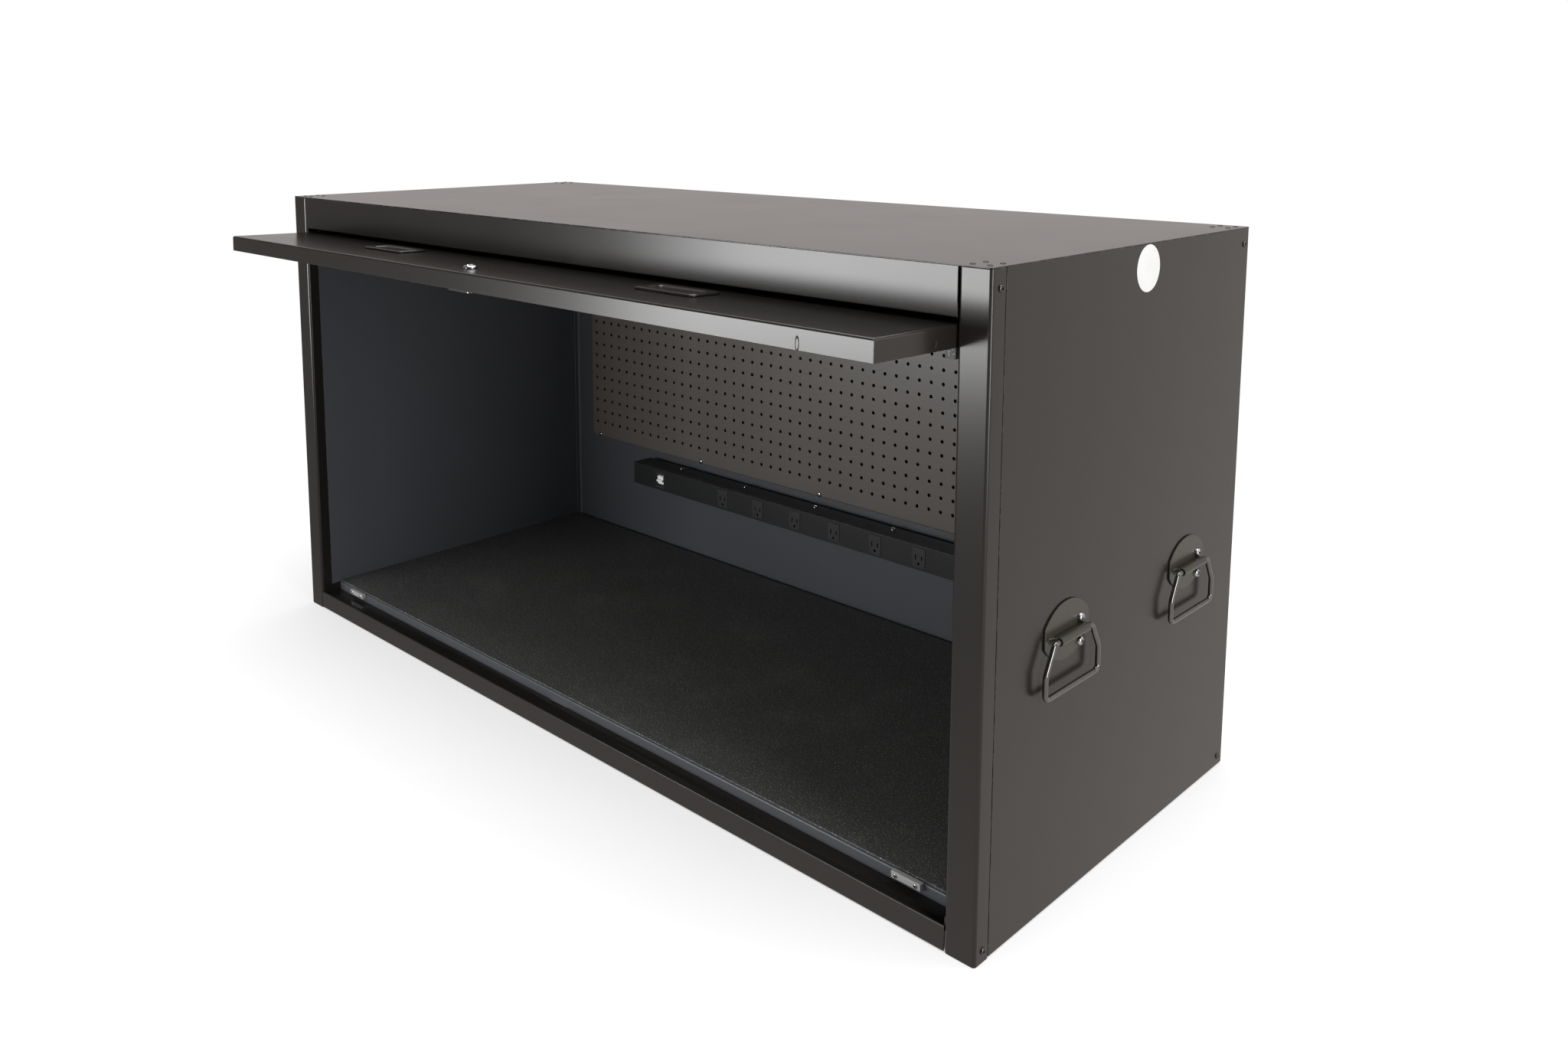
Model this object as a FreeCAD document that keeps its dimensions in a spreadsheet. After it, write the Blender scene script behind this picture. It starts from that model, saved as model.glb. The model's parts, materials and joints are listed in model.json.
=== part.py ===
import FreeCAD, Part

import math
import os
import re

import Sketcher

# Tool cabinet with a door that slides in under its top.
# X points right as seen from the front, Y points back, Z up, in millimetres.
# The origin is on the resting surface, under the middle of the footprint.

doc = FreeCAD.newDocument("ToolCabinet")
sizes = doc.addObject("Spreadsheet::Sheet", "Sizes")

DRIVING = {
    # body
    "width": 1550,
    "depth": 650,
    "height": 802,
    "sheet": 1.5,
    "post_sheet": 2,
    "post_face": 42.5,
    "post_side": 27,
    "post_return": 21.3,
    "post_bend": 4.5,
    "seam": 0.8,
    "side_flange": 22,
    "side_lift": 2,
    "top_bend": 4,
    "rail_height": 58,
    "rail_gap": 1.2,
    "rail_hem": 3,
    "hem_tall": 14,
    "rail_flange": 24,
    "lip_height": 33,
    "lip_hem": 3,
    "trough_floor": 28,
    "trough_depth": 37.5,
    "sill_tail": 10,
    "floor_top": 43,
    "floor_sheet": 1.5,
    "pan_bend": 2,
    "slot_length": 42,
    "slot_width": 8,
    "channel_width": 90,
    "channel_flange": 25,
    "channel_spacing": 480,
    "channel_inset": 50,
    "liner_sheet": 1,
    "liner_flange": 14,
    "back_gap": 10,
    "trim_leg": 9,
    "mat_thick": 2.7,
    "mat_gap": 0.3,
    "mat_front": 40,
    "brace_width": 70,
    "brace_height": 18,
    "brace_foot": 15,
    # perforated panel and its screws
    "peg_half_width": 668,
    "peg_low": 243,
    "peg_from_top": 34,
    "peg_stand": 12,
    "peg_corner": 15,
    "peg_screw_inset": 5,
    "peg_screw_pitch": 320,
    "screw_head": 4.5,
    "screw_dome": 2.4,
    # power strip
    "strip_low": 182,
    "strip_tall": 44,
    "strip_deep": 47,
    "strip_half": 473,
    "strip_wall": 2.5,
    "strip_cap": 3,
    "bracket_wide": 30,
    "bracket_inset": 4,
    "bracket_spacing": 331,
    "socket_first": -210,
    "socket_pitch": 95,
    "socket_wide": 27,
    "socket_tall": 34,
    "socket_deep": 22,
    "socket_proud": 0.8,
    "blade_offset": 6.4,
    "blade_wide": 2,
    "blade_long": 8.8,
    "blade_short": 7.2,
    "earth_radius": 2.5,
    "earth_drop": 11,
    "contact_deep": 15,
    "switch_x": -391,
    "switch_wide": 24,
    "rocker_wide": 17,
    "rocker_radius": 10,
    "rocker_face": 6,
    "rocker_angle": 7,
    "rocker_sink": 0.5,
    "rocker_fit": 0.3,
    "strip_screw_pitch": 182.5,
    "strip_screw_back": 11,
    "grommet_x": -440,
    "grommet_bore": 9,
    "grommet_wall": 3,
    # door, measured in its own plane
    "door_gap": 2.5,
    "door_thick": 26.2,
    "door_skin_sheet": 1.5,
    "door_pan_sheet": 1.2,
    "door_bend": 3,
    "door_over_lip": 2.5,
    "door_under_rail": 4,
    "pin_inset": 13.5,
    "door_reach": 142,
    "door_droop": 1.3,
    "rib_width": 60,
    "rib_spacing": 360,
    "rib_foot": 15,
    "rib_end": 40,
    "rib_shift": 60,
    "pull_x": 338,
    "pull_wide": 112,
    "pull_deep": 52,
    "pull_proud": 4,
    "pull_rim": 13,
    "pull_dish": 2.8,
    "pull_corner": 8,
    "dish_corner": 5,
    "pull_from_edge": 68,
    "bumper_from_edge": 145,
    "bumper_long": 12,
    "bumper_wide": 14,
    "bumper_tall": 13,
    "bumper_side": 1,
    # lock
    "lock_x": -37,
    "lock_from_edge": 38,
    "lock_radius": 9,
    "lock_head_radius": 10.5,
    "lock_head": 5,
    "lock_plug_radius": 6,
    "lock_plug_proud": 1,
    "lock_tail": 6.8,
    "lock_fit": 0.05,
    "nut_radius": 13,
    "nut_thick": 3.5,
    "cam_thick": 2.5,
    "cam_length": 50,
    "cam_width": 13,
    "cam_corner": 3,
    "key_slot": 1.6,
    "key_slot_long": 8,
    "key_slot_deep": 6,
    # guide of the door
    "pin_radius": 4,
    "pin_fit": 0.06,
    "pin_notch": 2.5,
    "track_clear": 2.3,
    "track_deep": 18.7,
    "track_half": 9.5,
    "track_sheet": 1.5,
    "track_lip": 4,
    "track_front": 8.5,
    "bracket_first": 30,
    "bracket_long": 24,
    "track_tail": 2,
    "carriage_half": 9.2,
    "carriage_front": 8,
    "carriage_rear": 46,
    "carriage_gap": 0.25,
    "arm_sheet": 1.6,
    "arm_gap": 0.3,
    "arm_margin": 3.5,
    "bar_back": 29,
    "bar_radius": 8,
    "bar_wall": 1.5,
    "bush_radius": 8,
    "bush_length": 14,
    "bush_inset": 0.5,
    "buffer_long": 8,
    "buffer_fit": 0.5,
    "buffer_gap": 0.3,
    # catches
    "catch_x": 655,
    "catch_long": 44,
    "catch_deep": 8,
    "catch_tall": 9,
    "catch_proud": 2,
    "catch_screw_pitch": 30,
    "catch_screw_head": 3,
    "catch_screw_rise": 1.4,
    # side handles, measured from the front face and the resting surface
    "handle_front": 177,
    "handle_rear": 494,
    "handle_level": 352,
    "plate_half": 50,
    "plate_tall": 73,
    "plate_arch": 12,
    "plate_thick": 2.5,
    "plate_crown": 90,
    "plate_corner": 6,
    "barrel_half": 32.5,
    "barrel_radius": 5.5,
    "barrel_off": 11,
    "barrel_drop": 4,
    "web_half": 3.8,
    "web_inset": 8,
    "web_step": 2,
    "wire_radius": 3.5,
    "wire_fit": 0.1,
    "bail_top_half": 43,
    "bail_wide_half": 61,
    "bail_shoulder": 33,
    "bail_drop": 63.5,
    "bail_bend": 8,
    "bolt_back": 29,
    "bolt_upper": 6.5,
    "bolt_lower": -23,
    "bolt_radius": 6,
    "bolt_rise": 5.5,
    # small things on the shell
    "side_screw_radius": 4.5,
    "side_screw_dome": 2.5,
    "side_screw_front": 16.5,
    "side_screw_rear": 16.3,
    "side_screw_top": 23.4,
    "side_screw_low": 15,
    "rivet_radius": 3.5,
    "rivet_dome": 1,
    "rivet_side": 14,
    "rivet_front": 16,
    "rivet_pitch_x": 22,
    "rivet_pitch_y": 25,
    "label_radius": 30,
    "label_thick": 0.3,
    "label_back": 349.5,
    "label_from_top": 32,
}

# Places that follow from the driving values.
RULES = {
    "front": "-depth/2",
    "rear": "depth/2",
    "inner_half": "width/2 - post_face",
    "under_top": "height - sheet",
    "rail_low": "height - rail_height",
    "back_wall": "rear - back_gap",
    "peg_face": "back_wall - peg_stand",
    "peg_high": "height - peg_from_top",
    "strip_front": "peg_face - strip_deep",
    "strip_level": "strip_low + strip_tall/2",
    "door_half": "inner_half - door_gap",
    "door_long": "rail_low - door_under_rail - lip_height - door_over_lip",
    "door_fore": "door_long - pin_inset",
    "pin_shut_y": "front + door_thick/2",
    "pin_shut_z": "rail_low - door_under_rail - pin_inset",
    "pin_drop": "door_fore*sin(door_droop)",
    "pin_run": "door_fore*cos(door_droop) - door_reach - door_thick/2",
    "pin_rest_y": "pin_shut_y + pin_run",
    "pin_rest_z": "pin_shut_z - pin_drop",
    "track_slope": "atan(pin_drop/pin_run)",
    "slide_run": "sqrt(pin_run*pin_run + pin_drop*pin_drop)",
    "track_rear": "slide_run + carriage_rear + buffer_gap + buffer_long + track_tail",
    "track_in": "inner_half + track_clear",
    "track_out": "track_in + track_deep",
    "liner_top": "pin_rest_z - track_half - track_sheet - 8",
    "pull_middle": "-door_fore + pull_from_edge + pull_deep/2",
    "lock_v": "-door_fore + lock_from_edge",
    "under_pan": "-door_thick/2",
    "cam_top": "under_pan - lock_tail",
}

for row, (name, number) in enumerate(DRIVING.items(), 1):
    sizes.set(f"A{row}", name)
    sizes.set(f"B{row}", str(number))
    sizes.setAlias(f"B{row}", name)
doc.recompute()

UP = FreeCAD.Vector(0, 0, 1)
RIGHT = FreeCAD.Vector(1, 0, 0)
WORD = re.compile(r"[a-z][a-z_]+[a-z]")
# flat sides that stand for a circle on pieces that repeat
HEAD_SIDES = 8
WIRE_SIDES = 12
LABEL_SIDES = 32
RING_SIDES = 24


def bind(formula):
    """Write a formula of size names as an expression on the sheet's cells."""

    def swap(match):
        word = match.group(0)
        if word in RULES:
            return "(" + bind(RULES[word]) + ")"
        if word in DRIVING:
            return "Sizes." + word
        return word

    return WORD.sub(swap, str(formula))


def size(name):
    """Read one driving value from the sheet."""
    return float(sizes.get(name))


def box(name, corner, lengths):
    """A box from its low corner and its lengths along X, Y and Z."""
    item = doc.addObject("Part::Box", name)
    for axis, formula in zip("xyz", corner):
        item.setExpression("Placement.Base." + axis, bind(formula))
    for edge, formula in zip(("Length", "Width", "Height"), lengths):
        item.setExpression(edge, bind(formula))
    return item


def turn(item, axis):
    """Point the item's own Z along X, Y or Z."""
    rotation = {
        "X": FreeCAD.Rotation(FreeCAD.Vector(0, 1, 0), 90),
        "Y": FreeCAD.Rotation(RIGHT, -90),
        "-X": FreeCAD.Rotation(FreeCAD.Vector(0, 1, 0), -90),
        "-Y": FreeCAD.Rotation(RIGHT, 90),
        "Z": FreeCAD.Rotation(),
        "-Z": FreeCAD.Rotation(RIGHT, 180),
    }[axis]
    item.Placement = FreeCAD.Placement(FreeCAD.Vector(), rotation)


def rod(name, start, axis, radius, length):
    """A round bar from its start point, along one axis."""
    item = doc.addObject("Part::Cylinder", name)
    turn(item, axis)
    for letter, formula in zip("xyz", start):
        item.setExpression("Placement.Base." + letter, bind(formula))
    item.setExpression("Radius", bind(radius))
    item.setExpression("Height", bind(length))
    return item


def cut(name, base, *tools):
    """The base without the tools."""
    tool = tools[0] if len(tools) == 1 else join(name + "_cutters", *tools)
    item = doc.addObject("Part::Cut", name)
    item.Base = base
    item.Tool = tool
    return item


def join(name, *pieces):
    """One solid from several that touch or overlap."""
    item = doc.addObject("Part::MultiFuse", name)
    item.Shapes = list(pieces)
    item.Refine = True
    return item


def several(name, *pieces):
    """Separate solids kept together in one sub-part."""
    item = doc.addObject("Part::Compound", name)
    item.Links = list(pieces)
    return item


def mirrored(name, source):
    """The same piece on the left side."""
    item = doc.addObject("Part::Mirroring", name)
    item.Source = source
    item.Base = FreeCAD.Vector()
    item.Normal = RIGHT
    return item


def outline(body, plane, corners, offset="0"):
    """A closed sketch through corners whose places follow the sheet."""
    sketch = body.newObject("Sketcher::SketchObject", body.Name + "_outline")
    origin = [f for f in body.Origin.OriginFeatures if f.Role == plane][0]
    sketch.AttachmentSupport = [(origin, "")]
    sketch.MapMode = "FlatFace"
    sketch.setExpression("AttachmentOffset.Base.z", bind(offset))
    count = len(corners)
    # a first guess on a large circle keeps the solver away from crossed lines
    guess = [
        FreeCAD.Vector(math.cos(2 * math.pi * i / count), math.sin(2 * math.pi * i / count), 0) * 100
        for i in range(count)
    ]
    for i in range(count):
        sketch.addGeometry(Part.LineSegment(guess[i], guess[(i + 1) % count]), False)
    for i in range(count):
        sketch.addConstraint(Sketcher.Constraint("Coincident", i, 2, (i + 1) % count, 1))
    for i, corner in enumerate(corners):
        for kind, formula in zip(("DistanceX", "DistanceY"), corner):
            place = guess[i].x if kind == "DistanceX" else guess[i].y
            index = sketch.addConstraint(Sketcher.Constraint(kind, -1, 1, i, 1, place))
            sketch.setExpression(f"Constraints[{index}]", bind(formula))
    return sketch


def along_edges(feature, sketch, corners):
    """Names of the edges that run through sketch corners, square to the sketch."""
    normal = sketch.Placement.Rotation.multVec(UP)
    places = [sketch.Placement.multVec(sketch.Geometry[i].StartPoint) for i in corners]
    names = []
    for number, edge in enumerate(feature.Shape.Edges, 1):
        first, last = edge.Vertexes[0].Point, edge.Vertexes[-1].Point
        run = last - first
        if run.Length < 1e-6 or abs(run.dot(normal)) < 0.999 * run.Length:
            continue
        for place in places:
            across = first - place
            if (across - normal * across.dot(normal)).Length < 1e-4:
                names.append(f"Edge{number}")
    return names


def extrusion(name, plane, corners, offset, length, bends=()):
    """A pad of an outline, with bend radii given as (corner numbers, radius)."""
    body = doc.addObject("PartDesign::Body", name)
    sketch = outline(body, plane, corners, offset)
    doc.recompute()
    pad = body.newObject("PartDesign::Pad", name + "_pad")
    pad.Profile = sketch
    pad.setExpression("Length", bind(length))
    doc.recompute()
    last = pad
    for number, (turned, radius) in enumerate(bends):
        edges = along_edges(last, sketch, turned)
        rounded = body.newObject("PartDesign::Fillet", f"{name}_bend_{number}")
        rounded.Base = (last, edges)
        rounded.setExpression("Radius", bind(radius))
        doc.recompute()
        last = rounded
    body.Tip = last
    return body


def prism(name, start, axis, radius, length, sides):
    """A bar with flat sides, standing on the face at its start point."""
    item = doc.addObject("Part::Prism", name)
    item.Polygon = sides
    turn(item, axis)
    for letter, formula in zip("xyz", start):
        item.setExpression("Placement.Base." + letter, bind(formula))
    item.setExpression("Circumradius", bind(radius))
    item.setExpression("Height", bind(length))
    return item


def head(name, centre, axis, radius, rise):
    """The head of a screw, bolt or rivet, kept to few faces because it repeats."""
    return prism(name, centre, axis, radius, rise, HEAD_SIDES)


def place(item, y, z, slope):
    """Lay a sub-part drawn about its pin axis at a point, tilted down to the back."""
    item.Placement = FreeCAD.Placement(FreeCAD.Vector(), FreeCAD.Rotation(-RIGHT, 1))
    item.setExpression("Placement.Base.y", bind(y))
    item.setExpression("Placement.Base.z", bind(z))
    item.setExpression("Placement.Rotation.Angle", bind(slope))
    return item


def on_door(item):
    """Put a piece of the door where the open door lies."""
    return place(item, "pin_rest_y", "pin_rest_z", "door_droop")


def on_track(item):
    """Put a piece of the guide on the line that the pins follow."""
    return place(item, "pin_shut_y", "pin_shut_z", "track_slope")


def on_carriage(item):
    """Put a piece that slides with the pins where they are with the door open."""
    return place(item, "pin_rest_y", "pin_rest_z", "track_slope")


PARTS = []


def keep(label, item):
    """Name a sub-part and list it for writing."""
    item.Label = label
    PARTS.append(item)
    return item


def both_sides(label, item):
    """Keep a right-hand piece and its mirror image."""
    keep(label + "_right", item)
    keep(label + "_left", mirrored(label + "_mirror", item))


def shell():
    """Posts, panels, rail, sill, floor, braces and channels."""
    post = extrusion(
        "post",
        "XY_Plane",
        [
            ("inner_half", "front"),
            ("width/2", "front"),
            ("width/2", "front + post_side"),
            ("width/2 - post_sheet", "front + post_side"),
            ("width/2 - post_sheet", "front + post_sheet"),
            ("inner_half + post_sheet", "front + post_sheet"),
            ("inner_half + post_sheet", "front + post_return"),
            ("inner_half", "front + post_return"),
        ],
        "0",
        "under_top",
        [((0, 1), "post_bend"), ((4, 5), "post_bend - post_sheet")],
    )
    notch = box(
        "pin_notch",
        ("inner_half - 1", "pin_shut_y - pin_radius - pin_notch", "pin_shut_z - pin_radius - pin_notch"),
        ("post_sheet + 2", "post_return", "2*(pin_radius + pin_notch)"),
    )
    both_sides("front_post", cut("front_post", post, notch))
    side = extrusion(
        "side_panel",
        "XY_Plane",
        [
            ("width/2", "front + post_side + seam"),
            ("width/2", "rear"),
            ("width/2 - side_flange", "rear"),
            ("width/2 - side_flange", "rear - sheet"),
            ("width/2 - sheet", "rear - sheet"),
            ("width/2 - sheet", "front + post_side + seam"),
        ],
        "side_lift",
        "under_top - side_lift",
        [((1,), "post_bend"), ((4,), "post_bend - sheet")],
    )
    both_sides("side_panel", side)
    top = extrusion(
        "top_panel",
        "XY_Plane",
        [
            ("-width/2", "front"),
            ("width/2", "front"),
            ("width/2", "rear"),
            ("-width/2", "rear"),
        ],
        "under_top",
        "sheet",
        [((0, 1, 2, 3), "top_bend")],
    )
    keep("top_panel", top)
    rail = extrusion(
        "top_rail",
        "YZ_Plane",
        [
            ("front", "rail_low"),
            ("front", "under_top"),
            ("front + rail_flange", "under_top"),
            ("front + rail_flange", "under_top - sheet"),
            ("front + sheet", "under_top - sheet"),
            ("front + sheet", "rail_low + hem_tall"),
            ("front + rail_hem", "rail_low + hem_tall"),
            ("front + rail_hem", "rail_low"),
        ],
        "-inner_half + rail_gap",
        "2*(inner_half - rail_gap)",
        [((0, 7), "rail_hem/2 - 0.2")],
    )
    keep("top_rail", rail)
    braces = []
    for side_sign, name in ((-1, "front"), (1, "rear")):
        middle = f"{side_sign}*depth/5"
        leg = "brace_width/2"
        braces.append(
            extrusion(
                "brace_" + name,
                "YZ_Plane",
                [
                    (f"{middle} - {leg} - brace_foot", "under_top"),
                    (f"{middle} - {leg} + sheet", "under_top"),
                    (f"{middle} - {leg} + sheet", "under_top - brace_height + sheet"),
                    (f"{middle} + {leg} - sheet", "under_top - brace_height + sheet"),
                    (f"{middle} + {leg} - sheet", "under_top"),
                    (f"{middle} + {leg} + brace_foot", "under_top"),
                    (f"{middle} + {leg} + brace_foot", "under_top - sheet"),
                    (f"{middle} + {leg}", "under_top - sheet"),
                    (f"{middle} + {leg}", "under_top - brace_height"),
                    (f"{middle} - {leg}", "under_top - brace_height"),
                    (f"{middle} - {leg}", "under_top - sheet"),
                    (f"{middle} - {leg} - brace_foot", "under_top - sheet"),
                ],
                "-inner_half",
                "2*inner_half",
            )
        )
    keep("top_braces", several("top_braces", *braces))
    sill = extrusion(
        "sill_sheet",
        "YZ_Plane",
        [
            ("front", "side_lift"),
            ("front", "lip_height"),
            ("front + lip_hem", "lip_height"),
            ("front + lip_hem", "trough_floor"),
            ("front + trough_depth + sill_tail", "trough_floor"),
            ("front + trough_depth + sill_tail", "trough_floor - sheet"),
            ("front + sheet", "trough_floor - sheet"),
            ("front + sheet", "side_lift"),
        ],
        "-inner_half",
        "2*inner_half",
        [((1, 2), "lip_hem/2 - 0.2")],
    )
    cheeks = [
        box(
            "sill_cheek_" + name,
            (x, "front + lip_hem", "trough_floor"),
            ("sheet", "trough_depth - lip_hem", "floor_top - trough_floor"),
        )
        for name, x in (("right", "inner_half - sheet"), ("left", "-inner_half"))
    ]
    slot = box(
        "cam_slot",
        ("lock_x - slot_length/2", "front + door_thick + lock_tail - slot_width/2 + cam_thick/2", "0"),
        ("slot_length", "slot_width", "lip_height"),
    )
    keep("front_sill", several("front_sill", cut("sill_slotted", sill, slot), *cheeks))
    floor = extrusion(
        "floor_pan",
        "YZ_Plane",
        [
            ("front + trough_depth", "trough_floor"),
            ("front + trough_depth", "floor_top"),
            ("rear - back_gap + liner_sheet", "floor_top"),
            ("rear - back_gap + liner_sheet", "floor_top - floor_sheet"),
            ("front + trough_depth + floor_sheet", "floor_top - floor_sheet"),
            ("front + trough_depth + floor_sheet", "trough_floor"),
        ],
        "-inner_half - liner_flange",
        "2*(inner_half + liner_flange)",
        [((1,), "pan_bend"), ((4,), "pan_bend - floor_sheet")],
    )
    keep("floor_pan", floor)
    channels = []
    for number in (-1, 0, 1):
        middle = f"{number}*channel_spacing"
        half = "channel_width/2"
        top_face = "floor_top - floor_sheet"
        channels.append(
            extrusion(
                f"channel_{number + 2}",
                "XZ_Plane",
                [
                    (f"{middle} - {half} - channel_flange", top_face),
                    (f"{middle} - {half} + sheet", top_face),
                    (f"{middle} - {half} + sheet", "sheet"),
                    (f"{middle} + {half} - sheet", "sheet"),
                    (f"{middle} + {half} - sheet", top_face),
                    (f"{middle} + {half} + channel_flange", top_face),
                    (f"{middle} + {half} + channel_flange", f"{top_face} - sheet"),
                    (f"{middle} + {half}", f"{top_face} - sheet"),
                    (f"{middle} + {half}", "0"),
                    (f"{middle} - {half}", "0"),
                    (f"{middle} - {half}", f"{top_face} - sheet"),
                    (f"{middle} - {half} - channel_flange", f"{top_face} - sheet"),
                ],
                "-(back_wall)",
                "depth - back_gap - trough_depth - channel_inset",
            )
        )
    keep("floor_supports", several("floor_supports", *channels))
    mat = box(
        "floor_mat",
        ("-inner_half + mat_gap", "front + mat_front", "floor_top + mat_gap"),
        ("2*(inner_half - mat_gap)", "back_wall - trim_leg - mat_gap - front - mat_front", "mat_thick"),
    )
    keep("floor_mat", mat)


def inner_walls():
    """Liners, back wall, corner trims, outer back and the perforated panel."""
    liner = extrusion(
        "side_liner",
        "XY_Plane",
        [
            ("inner_half", "front + post_return"),
            ("inner_half + liner_flange", "front + post_return"),
            ("inner_half + liner_flange", "front + post_return + liner_sheet"),
            ("inner_half + liner_sheet", "front + post_return + liner_sheet"),
            ("inner_half + liner_sheet", "back_wall"),
            ("inner_half", "back_wall"),
        ],
        "floor_top",
        "liner_top - floor_top",
    )
    both_sides("side_liner", liner)
    back_wall = box(
        "back_wall_sheet",
        ("-inner_half", "back_wall", "floor_top"),
        ("2*inner_half", "liner_sheet", "under_top - floor_top"),
    )
    hole_start = ("grommet_x", "back_wall - 1", "strip_level")
    wall_hole = rod("back_wall_hole", hole_start, "Y", "grommet_bore", "liner_sheet + 2")
    keep("back_wall", cut("back_wall_drilled", back_wall, wall_hole))
    back = box(
        "back_panel_sheet",
        ("-width/2 + sheet", "rear - 2*sheet", "side_lift"),
        ("width - 2*sheet", "sheet", "under_top - side_lift"),
    )
    back_hole = rod(
        "back_hole",
        ("grommet_x", "rear - 2*sheet - 1", "strip_level"),
        "Y",
        "grommet_bore + grommet_wall/2",
        "sheet + 2",
    )
    corner_rounds = [
        box(
            "back_corner_" + name,
            (x, "rear - 2*sheet - 1", "0"),
            ("post_bend", "sheet + 2", "height"),
        )
        for name, x in (("right", "width/2 - post_bend"), ("left", "-width/2"))
    ]
    keep("back_panel", cut("back_panel_cut", back, back_hole, *corner_rounds))
    trim = extrusion(
        "corner_trim",
        "XY_Plane",
        [
            ("inner_half", "back_wall"),
            ("inner_half - trim_leg", "back_wall"),
            ("inner_half - trim_leg", "back_wall - liner_sheet"),
            ("inner_half - liner_sheet", "back_wall - liner_sheet"),
            ("inner_half - liner_sheet", "back_wall - trim_leg"),
            ("inner_half", "back_wall - trim_leg"),
        ],
        "floor_top",
        "liner_top - floor_top",
    )
    keep("corner_trims", several("corner_trims", trim, mirrored("corner_trim_left", trim)))
    panel = extrusion(
        "pegboard_sheet",
        "XZ_Plane",
        [
            ("-peg_half_width", "peg_low"),
            ("peg_half_width", "peg_low"),
            ("peg_half_width", "peg_high"),
            ("-peg_half_width", "peg_high"),
        ],
        "-(back_wall)",
        "peg_stand",
        [((0, 1, 2, 3), "peg_corner")],
    )
    hollow = extrusion(
        "pegboard_hollow",
        "XZ_Plane",
        [
            ("-peg_half_width + sheet", "peg_low + sheet"),
            ("peg_half_width - sheet", "peg_low + sheet"),
            ("peg_half_width - sheet", "peg_high - sheet"),
            ("-peg_half_width + sheet", "peg_high - sheet"),
        ],
        "-(back_wall) - 1",
        "peg_stand + 1 - sheet",
        [((0, 1, 2, 3), "peg_corner - sheet")],
    )
    keep("pegboard", cut("pegboard", panel, hollow))
    screws = []
    for row, level in (("low", "peg_low + peg_screw_inset"), ("high", "peg_high - peg_screw_inset")):
        for column in range(-2, 3):
            screws.append(
                head(
                    f"peg_screw_{row}_{column + 3}",
                    (f"{column}*peg_screw_pitch", "peg_face", level),
                    "-Y",
                    "screw_head",
                    "screw_dome",
                )
            )
    keep("pegboard_screws", several("pegboard_screws", *screws))


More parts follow.
